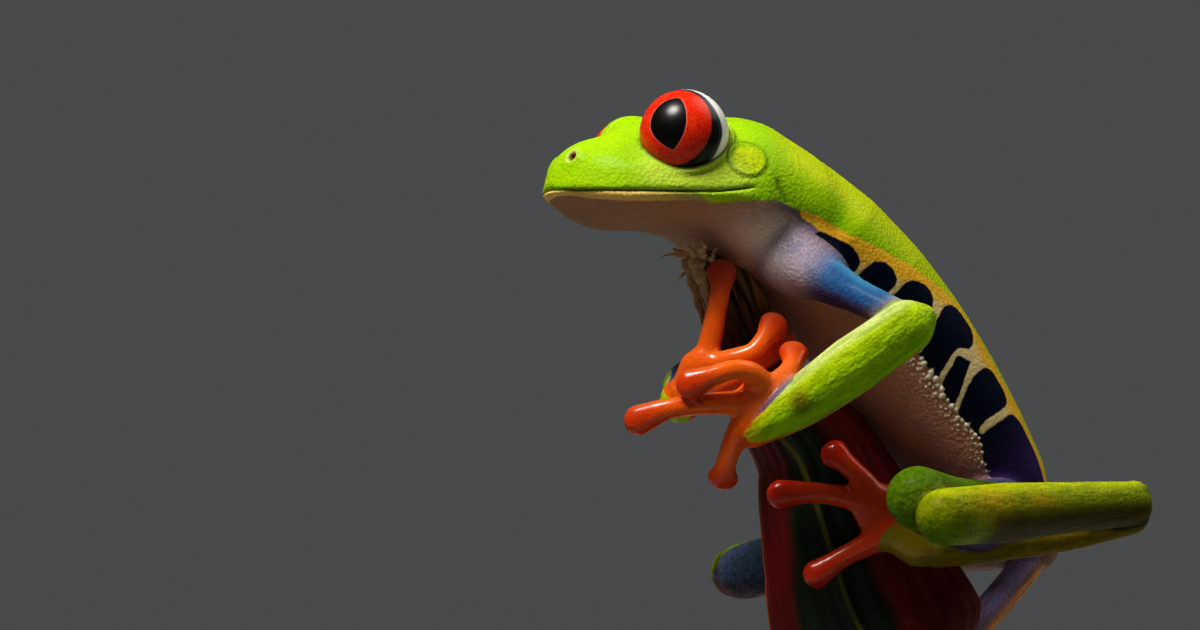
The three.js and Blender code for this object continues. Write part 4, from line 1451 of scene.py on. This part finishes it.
# %% A closed grid of points, and an eye on it
def closed_grid(rings, first, last):
    """Points and faces of a closed surface: rings of equally many points, and a pole at each end."""
    count, around = rings.shape[:2]
    points = np.concatenate([[first], rings.reshape(-1, 3), [last]])
    row = np.arange(count - 1)[:, None] * around + 1
    side = np.arange(around)[None, :]
    ahead = (side + 1) % around
    quads = np.stack([row + side, row + ahead, row + around + ahead, row + around + side], -1).reshape(-1, 4)
    side, ahead = side[0], ahead[0]
    start = np.stack([np.zeros_like(side), ahead + 1, side + 1], 1)
    base = 1 + (count - 1) * around
    end = np.stack([np.full_like(side, len(points) - 1), base + side, base + ahead], 1)
    return points, quads.tolist() + start.tolist() + end.tolist()


def mesh_of(name, points, faces):
    """A mesh in metres from points in millimetres, with its faces turned outwards."""
    mesh = bpy.data.meshes.new(name)
    mesh.from_pydata((np.asarray(points) * MM).tolist(), [], faces)
    work = bmesh.new()
    work.from_mesh(mesh)
    bmesh.ops.recalc_face_normals(work, faces=work.faces[:])
    work.to_mesh(mesh)
    work.free()
    return mesh


def add_ring_numbers(mesh, shape, **rows):
    """Numbers on a closed grid: the grid's own, between those of its first and its last point."""
    for name, (first, values, last) in rows.items():
        add_attribute(mesh, name, [first, *np.broadcast_to(values, shape).ravel(), last])


EYE_OUTLOOK = unit([0.687, 0.722, 0.077])
PUPIL_TALL = 36.7  # degrees on the ball
PUPIL_CORNER = 8.5  # how far behind the outlook the pupil's two corners lie
PUPIL_AHEAD, PUPIL_BEHIND = 34.0, 17.2
IRIS_EDGE, RING_EDGE = 61.0, 84.0  # degrees from the outlook
EYE_ROWS, EYE_COLUMNS = 120, 180


def eye_mesh(side, name):
    """A ball whose rows run round the outlook; the pupil is bounded, at each height, by
    corner + bulge (1 - (height / tall)²)^p on either side, with p rounder above than below. The white
    starts nearer the outlook above than below."""
    out = mirrored(EYE_OUTLOOK, side)
    up = unit(np.array([0, 0, 1.0]) - out * out[2])
    back = unit(np.array([-1.0, 0, 0]) + out * out[0])
    back = unit(back - up * (back @ up))
    away = np.radians(np.linspace(0, 180, EYE_ROWS + 1))[1:-1, None, None]
    round_it = np.radians(np.linspace(0, 360, EYE_COLUMNS, endpoint=False))[None, :, None]
    rows = np.cos(away) * out + np.sin(away) * (np.cos(round_it) * back + np.sin(round_it) * up)
    ways, faces = closed_grid(rows, out, -out)
    height = np.degrees(np.arcsin(np.clip(ways @ up, -1, 1)))
    across = np.degrees(np.arctan2(ways @ back, ways @ out))
    room = np.clip(1 - (height / PUPIL_TALL) ** 2, 0, 1) ** np.where(height > 0, 0.5, 0.8)
    past_corner = across - PUPIL_CORNER
    pupil = np.minimum(past_corner + PUPIL_AHEAD * room, PUPIL_BEHIND * room - past_corner)
    beyond = -np.hypot(np.abs(height) - PUPIL_TALL, past_corner)
    pupil = np.where(np.abs(height) < PUPIL_TALL, pupil, beyond)
    ring = RING_EDGE - 14 * ease(ways @ up, -0.2, 0.7) + 2 * ease(-(ways @ up), 0.3, 0.7)
    off_outlook = np.degrees(np.arccos(np.clip(ways @ out, -1, 1)))
    turn = np.arctan2(ways @ up, ways @ back)
    mesh = mesh_of(name, from_head(ways * EYE_RADIUS + mirrored(EYE_AT, side)), faces)
    numbers = {"white": off_outlook - ring, "pupil": pupil, "away": off_outlook, "spoke_x": np.cos(turn),
               "spoke_y": np.sin(turn)}
    for name, values in numbers.items():
        add_attribute(mesh, name, values)
    return mesh


IRIS_DEEP, IRIS_LIT, IRIS_GLOW = shade("#c60e02"), shade("#f23206"), shade("#ff5a14")
IRIS_RIM, PUPIL_RIM, PUPIL_BLACK = shade("#7d0503"), shade("#d98a78"), shade("#030303")
RING_BLACK, RING_BLUE = shade("#050507"), shade("#3c4658")
WHITE_NEAR, WHITE_FAR = shade("#fffcf2"), shade("#eedba4")
print("the pupil is", 2 * PUPIL_TALL, "degrees tall on the eyeball")

# %% The eye's finish
def eye_finish():
    """Fibres that run out from the outlook, read as noise on a circle, then ring, white and pupil."""
    material, tree, shader = finish("frog_eye")
    names = ("away", "pupil", "white", "spoke_x", "spoke_y")
    away, pupil, white_edge, spoke_x, spoke_y = (measured(tree, name) for name in names)
    spoke = node(tree, "ShaderNodeCombineXYZ", spoke_x, spoke_y, away * 0.012)
    red = mixed(step_up(cloudy(spoke, 22, 4), 0.3, 0.7), IRIS_DEEP, IRIS_LIT)
    red = mixed(step_up(noise(in_place(tree), 0.5, 4, 0.6), 0.35, 0.7) * 0.35, red, IRIS_GLOW)
    red = mixed(step_up(away, 50.0, IRIS_EDGE) * 0.12, red, IRIS_RIM)
    ring = mixed(step_up(white_edge, -12.0, 0.0), RING_BLACK, RING_BLUE)
    white = mixed(step_up(away, 92.0, 125.0), WHITE_NEAR, WHITE_FAR)
    colour = mixed(step_up(away, IRIS_EDGE - 1, IRIS_EDGE + 1), red, ring)
    colour = mixed(step_up(white_edge, -3.0, 2.0), colour, white)
    colour = mixed(step_up(pupil, -2.2, -0.9) * 0.6, colour, PUPIL_RIM)
    colour = mixed(step_up(pupil, -0.6, 0.5), colour, PUPIL_BLACK)
    set_shader(shader, Base_Color=colour, Roughness=0.45, Coat_Weight=0.6, Coat_Roughness=0.25, Coat_IOR=1.45,
               Specular_IOR_Level=0.08)
    return material


eye_material = eye_finish()
for side_name, side in SIDES.items():
    name = f"eyeball_{side_name}"
    new_piece(name, eye_mesh(side, name), eye_material, "eye", f"eye_{side_name}")
print("eyes", 2 * EYE_RADIUS, "mm across")

# %% [markdown]
# ## The perch
# The frog holds the tip of a flower bract: a stiff, leathery leaf folded lengthwise, with red margins, a
# green face, raised veins that run its whole length, and a dry brown tip. A folded leaf is a row of
# cross-sections carried along a curve. Each cross-section is a lens with two sharp corners, and the
# veins are a small wave laid over it.

# %% Cross-sections carried along a curve
def swept(line, across, up):
    """Rings of points: for each place of the line, its centre plus the ring's two coordinates times two
    directions square to the line, the second as near as possible to up."""
    course = unit(np.gradient(line, axis=0))
    high = np.asarray(up, float)
    high = unit(high - (course @ high)[:, None] * course)
    side = np.cross(high, course)
    return line[:, None] + across[..., :1] * side[:, None] + across[..., 1:] * high[:, None]


BRACT = [(-15.3, -5.2, 52.5), (-13.5, -4.6, 48.2), (-12.2, -4.2, 44.4), (-10.7, -3.6, 41.0),
         (-7.4, -2.4, 37.1), (-5.7, -1.7, 33.2), (-4.4, -1.2, 29.2), (-3.0, -0.7, 25.0), (-1.2, -0.3, 21.5),
         (0.3, 0.1, 18.2)]
BRACT_WIDE = (2.5, 2.6, 2.9, 3.1, 4.9, 6.0, 6.9, 8.0, 8.3, 6.2)  # half, from the tip down
BRACT_THICK = (1.9, 2.5, 2.9, 3.2, 3.6, 3.8, 4.0, 4.2, 4.4, 4.2)
VEINS, VEIN_TALL = 26, 0.07


def bract_mesh():
    """Each ring is x = wide cos a, y = thick sin a |sin a|^0.25, so that both margins are sharp. Along it
    run veins, 0.07 cos(26 a + 2 sin 3a) high, and a keel beside the middle; the tip is crumpled."""
    line, share = curve_through(BRACT, 18)
    a, down = np.linspace(0, 2 * np.pi, 288, endpoint=False)[None], share[:, None]
    wide, thick = along(BRACT_WIDE, share)[:, None], along(BRACT_THICK, share)[:, None]
    ends = np.sqrt(np.clip(1 - ((down - 0.5) * 2) ** 16, 0.02, 1))
    sine = np.sin(a)
    x = wide * ends * np.cos(a)
    y = thick * ends * sine * np.abs(sine) ** 0.25
    vein = VEIN_TALL * np.cos(VEINS * a + 2 * np.sin(3 * a)) * np.clip(np.abs(sine) * 3, 0, 1)
    vein = vein * ease(down, 0.02, 0.2)
    keel = 0.3 * hill(np.cos(a) + 0.25, 0.07) * np.sign(sine)
    crumple = 0.16 * (1 - ease(down, 0.05, 0.3)) * np.sin(7 * a + 40 * down)
    x = x * (1 + (vein + crumple) / wide)
    y = y * (1 + (vein + crumple) / thick) + keel * ends
    rings = swept(line, np.stack([x, y], -1), (0, -1, 0))
    points, faces = closed_grid(rings, rings[0].mean(0), rings[-1].mean(0))
    mesh = mesh_of("flower_bract", points, faces)
    add_ring_numbers(mesh, x.shape, down=(0, down, 1), margin=(0, (1 - np.abs(np.cos(a))) * wide, 1),
                     across=(0, np.cos(a) * wide, 0), front=(0, np.sign(sine) * np.abs(sine), 0))
    return mesh


print("the bract is", 2 * max(BRACT_WIDE), "mm wide and", 2 * max(BRACT_THICK), "mm thick")

# %% The bract's finish
# the face and margins are near black and deep red: partly the bract's own colours, partly painted shade
FACE_DARK, FACE_LIT = shade("#050b03"), shade("#182a08")
RED_DARK, RED_LIT, RIM_RED = shade("#3c0404"), shade("#720e07"), shade("#a04a18")
RIB, HUSK, FIBRE_DARK, FIBRE_LIT = shade("#6d6a1c"), shade("#a8885a"), shade("#7a5630"), shade("#ecd0a4")


def bract_finish():
    """Green face, red margins and right-hand side, one pale rib, and a dry brown tip; the streaks are
    noise read across the bract and, drawn out, down it."""
    material, tree, shader = finish("flower_bract")
    place = in_place(tree)
    down, margin, across = (measured(tree, name) for name in ("down", "margin", "across"))
    drawn_out = node(tree, "ShaderNodeCombineXYZ", across, down * 3.0, measured(tree, "front"))
    streak, cloud, fine = cloudy(drawn_out, 1.6, 4), noise(place, 3, 3), noise(place, 0.35, 3)
    jitter = (cloud - 0.5) * 1.4
    red = largest(step_up(margin + jitter, 2.6, 1.6), step_up(across + jitter, 0.6, 1.6))
    colour = mixed(red, mixed(streak, FACE_DARK, FACE_LIT), mixed(streak, RED_DARK, RED_LIT))
    colour = mixed(step_up(abs(across + 1.6), 0.3, 0.08) * 0.6, colour, RIB)
    colour = mixed(step_up(margin, 0.09, 0.02), colour, RIM_RED)
    dry = step_up(down + (streak - 0.5) * 0.12, 0.2, 0.1)
    husk = mixed(step_up(streak, 0.35, 0.65), CREASE_SHADE_AND_HUSK_BROWN, HUSK)
    husk = mixed(measured(tree, "fibre"), husk, mixed(fine, FIBRE_DARK, FIBRE_LIT))
    set_shader(shader, Base_Color=mixed(dry, colour, husk), Roughness=0.42 + dry * 0.35,
               Normal=bumps(fine + streak * 2.0, 0.05), Coat_Weight=0.08, Coat_Roughness=0.25,
               Subsurface_Weight=0.06, Subsurface_Scale=0.0006, Specular_IOR_Level=0.2)
    return material


bract_material = bract_finish()
new_piece("flower_bract", bract_mesh(), bract_material, "perch", "perch_bract")
print("a bract with", VEINS, "veins")

# %% The dry shreds at the tip, and the cut stalk
STALK = [(0.3, 0.1, 18.6), (0.9, 0.3, 14.6), (1.4, 0.5, 11.0)]
STALK_SIZE = (4.2, 3.4, 3.0)  # its radius, from the bract to the foot
SHREDS = np.array([  # each shred: where it starts, how far it reaches, and half its width, in mm
    (-17.0, -7.9, 52.0, -2.1, -0.2, -0.5, 0.26), (-16.6, -8.1, 51.5, -1.3, -0.4, 1.5, 0.3),
    (-16.2, -8.2, 51.9, -0.9, -0.3, 1.1, 0.34), (-15.9, -8.1, 51.4, -0.1, -0.4, 1.3, 0.36),
    (-15.5, -7.9, 51.3, 0.7, -0.4, 0.9, 0.3), (-17.3, -6.6, 51.9, 1.4, -0.3, -5.6, 0.5),
    (-16.8, -7.0, 52.0, 1.2, -0.4, -4.6, 0.5), (-17.2, -6.6, 51.9, -1.1, -0.4, 0.5, 0.4),
    (-16.2, -7.4, 51.6, 0.6, -0.5, -3.2, 0.5), (-17.0, -5.6, 51.2, -0.7, 0.1, -1.2, 0.2),
    (-16.4, -7.8, 52.2, -1.7, -0.3, 0.2, 0.2), (-15.6, -7.4, 50.6, 0.9, -0.7, -2.4, 0.26),
])


def shreds():
    """Dry strips at the tip. Each is a flat ribbon on a bent line: with t from 0 to 1, start + reach t
    + curl sin(6 t) + wave sin(15 t), and its width is 1 - 0.75 t, ragged by a small wave. Curls and
    waves are drawn by fixed chance."""
    chance = np.random.default_rng(7)
    count = len(SHREDS)
    start, reach, width = SHREDS[:, :3], SHREDS[:, 3:6], SHREDS[:, 6]
    t = np.linspace(0, 1, 24)[None, :, None]
    facing_out = np.array([0, -1, 0]) + chance.normal(0, 0.35, (count, 3))
    across = unit(np.cross(reach, facing_out))
    high = unit(np.cross(across, reach))
    curl = chance.uniform(-0.15, 0.15, (count, 1, 1)) * np.sin(6 * t)
    wave = chance.uniform(-0.05, 0.05, (count, 1, 1)) * np.sin(15 * t)
    line = start[:, None] + reach[:, None] * t + (curl + wave) * across[:, None] + 0.6 * curl * high[:, None]
    a = np.linspace(0, 2 * np.pi, 12, endpoint=False)[None, None, :, None]
    width = width[:, None, None]
    size = (width * (1 - 0.75 * t) * (1 + 0.25 * np.sin(23 * t + 9 * width)))[:, :, None]
    ring = np.cos(a) * across[:, None, None] + 0.22 * np.sin(a) * high[:, None, None]
    made = [closed_grid(*strip) for strip in zip(line[:, :, None] + size * ring, line[:, 0], line[:, -1])]
    points = np.concatenate([strip for strip, _ in made])
    faces = []
    for number, (strip, strip_faces) in enumerate(made):
        faces += [np.add(face, number * len(strip)).tolist() for face in strip_faces]
    mesh = mesh_of("bract_shreds", points, faces)
    add_attribute(mesh, "down", np.zeros(len(points)))
    add_attribute(mesh, "fibre", np.ones(len(points)))
    return mesh


def stalk_mesh():
    """A round stalk, cut straight at its foot, with ridges 0.09 cos 17a + 0.05 cos 5a high along it."""
    line, share = curve_through(STALK, 24)
    a, down = np.linspace(0, 2 * np.pi, 120, endpoint=False)[None], share[:, None]
    size = along(STALK_SIZE, share)[:, None] + 0.09 * np.cos(17 * a + 3 * down) + 0.05 * np.cos(5 * a)
    size = size * (ease(down, 1.0, 0.97) * 0.12 + 0.88)
    rings = swept(line, np.stack([size * np.cos(a), size * np.sin(a)], -1), (0, -1, 0))
    points, faces = closed_grid(rings, line[0], line[-1] - [0, 0, 0.05])
    mesh = mesh_of("cut_stalk", points, faces)
    add_ring_numbers(mesh, size.shape, down=(0.5, 0.5 + 0.5 * down, 1.2), margin=(3, 3, 3),
                     across=(0, -3 + 0.6 * np.cos(a), 0), front=(0, np.sin(a), 0))
    return mesh


new_piece("bract_shreds", shreds(), bract_material, "perch")
new_piece("cut_stalk", stalk_mesh(), bract_material, "perch", "perch_stalk")
print("perch done")

# %% [markdown]
# ## The stand
# A museum mount should be plain and steady: a heavy round base, felt-dark and matt, and one brushed
# steel rod. Both are turned shapes. A turned shape is a profile, as on a lathe, carried once round.

# %% Turned shapes, the base and the rod
BASE_RADIUS, BASE_TALL, BASE_BEVEL = 29, 4.5, 0.7
ROD_AT, ROD_RADIUS, ROD_TOP = (1.4, 0.5), 1.5, 13.0
FELT_DARK, FELT_LIT, FELT_SPECK = shade("#26282b"), shade("#34373b"), shade("#4a4e53")
STEEL_DARK, STEEL_LIT = shade("#8d8f91"), shade("#c9cbcd")


def turned_shape(name, profile, centre, around=160):
    """A profile of (radius, height) carried round a vertical axis, closed at both ends."""
    radius, height = np.transpose(profile)
    a = np.linspace(0, 2 * np.pi, around, endpoint=False)
    ring = np.stack([np.cos(a), np.sin(a), 0 * a], -1)
    upright = height[:, None, None] * np.array([0, 0, 1.0])
    rings = radius[:, None, None] * ring + upright + np.array([*centre, 0])
    return mesh_of(name, *closed_grid(rings, [*centre, height[0]], [*centre, height[-1]]))


def rounded(low, high, radius, bevel, steps=6):
    """The profile of a disc with rounded rims: short arcs where wall meets top and bottom."""
    turn = np.linspace(0, np.pi / 2, steps)
    top = np.stack([radius - bevel + bevel * np.cos(turn), high - bevel + bevel * np.sin(turn)], 1)
    rim = [(radius - bevel, low), (radius - 0.3 * bevel, low + 0.3 * bevel), (radius, low + bevel)]
    inner = [(r, high) for r in np.linspace(radius - bevel, 0.5, 12)[1:]]
    return np.array([(0.5, low), (radius * 0.9, low), *rim, *top, *inner])


def base_finish():
    """Dark, matt and faintly speckled."""
    material, tree, shader = finish("stand_base")
    place = in_place(tree)
    grain, cloud = noise(place, 0.25, 3, 0.7), noise(place, 8, 3)
    colour = mixed(step_up(grain, 0.62, 0.75), mixed(cloud, FELT_DARK, FELT_LIT), FELT_SPECK)
    set_shader(shader, Base_Color=colour, Roughness=0.5 + grain * 0.2, Normal=bumps(grain, 0.03))
    return material


def rod_finish():
    """Brushed steel: noise pressed flat along the rod, so that it reads as lines round it."""
    material, tree, shader = finish("stand_rod")
    place = node(tree, "ShaderNodeMapping", in_place(tree), named={"Scale": (1, 1, 30)})
    lines = noise(place, 2.5, 3, 0.6)
    set_shader(shader, Base_Color=mixed(lines, STEEL_DARK, STEEL_LIT), Roughness=0.22 + lines * 0.22,
               Metallic=1.0, Normal=bumps(lines, 0.01))
    return material


rod_wall = [(ROD_RADIUS, z) for z in np.linspace(BASE_TALL + 0.4, ROD_TOP, 30)]
rod_profile = [(0.3, BASE_TALL), (ROD_RADIUS, BASE_TALL), *rod_wall, (0.3, ROD_TOP)]
base_profile = rounded(0, BASE_TALL, BASE_RADIUS, BASE_BEVEL)
new_piece("stand_rod", turned_shape("stand_rod", rod_profile, ROD_AT, 64), rod_finish(), "rod", "stand_rod")
new_piece("stand_base", turned_shape("stand_base", base_profile, (0, 0)), base_finish(), "base", "stand_base")
print("stand done")

# %% [markdown]
# ## Floor and light
# The eyes and hands are wet, so they show the lamps as much as their own colour. The key lamp stands
# ahead of the frog, above it and towards the viewer, behind a grid that keeps its light on the animal,
# so the belly falls into shade. A larger, softer rim lamp behind draws the edge of the back, and the
# pale room fills the shade without a second set of hard highlights.

# %% Floor, room and lamps
FLOOR_RADIUS = 6000
FLOOR_DARK, FLOOR_LIT, ROOM = shade("#c6c6c4"), shade("#d0d0ce"), shade("#c9cbcc")
ROOM_STRENGTH = 0.13
WARM, FAINTLY_WARM = (1.0, 0.97, 0.92), (1.0, 0.98, 0.95)
LIT_PLACE = np.array([-23, -8, 52.0])


def lamp(name, toward, far, size, power, spread, colour):
    """A round lamp that looks at the shoulders from a direction, far mm away, through a grid that keeps
    its light within spread degrees."""
    light = bpy.data.lights.new(name, "AREA")
    light.shape = "DISK"
    light.size = size * MM
    light.energy = power
    light.color = colour
    light.spread = math.radians(spread)
    holder = bpy.data.objects.new(name, light)
    way = unit(toward)
    holder.location = (LIT_PLACE + way * far) * MM
    holder.rotation_euler = Vector(way).to_track_quat("Z", "Y").to_euler()
    bpy.context.scene.collection.objects.link(holder)


def floor_finish():
    """Pale and matt, with a faint cloud in its grey."""
    material, tree, shader = finish("floor")
    colour = mixed(noise(in_place(tree), 3, 4, 0.6), FLOOR_DARK, FLOOR_LIT)
    set_shader(shader, Base_Color=colour, Roughness=0.85)
    return material


floor_profile = [(1, -0.6), (FLOOR_RADIUS, -0.6), (FLOOR_RADIUS, -0.02), (1, -0.02)]
floor_mesh = turned_shape("floor", floor_profile, (0, 0), 96)
floor_mesh.materials.append(floor_finish())
floor = bpy.data.objects.new("floor", floor_mesh)
bpy.context.scene.collection.objects.link(floor)

world = bpy.data.worlds.new("room")
bpy.context.scene.world = world
world.use_nodes = True
set_shader(world.node_tree.nodes["Background"].inputs, Color=ROOM, Strength=ROOM_STRENGTH)
lamp("key", toward=(-0.374, -0.445, 0.816), far=220, size=90, power=0.037, spread=38, colour=WARM)
lamp("rim", toward=(0.62, 0.1, 0.78), far=300, size=260, power=0.15, spread=120, colour=FAINTLY_WARM)
bpy.context.scene.view_settings.view_transform = "Standard"
bpy.context.scene.view_settings.look = "Medium High Contrast"
print("two lamps and a pale room")
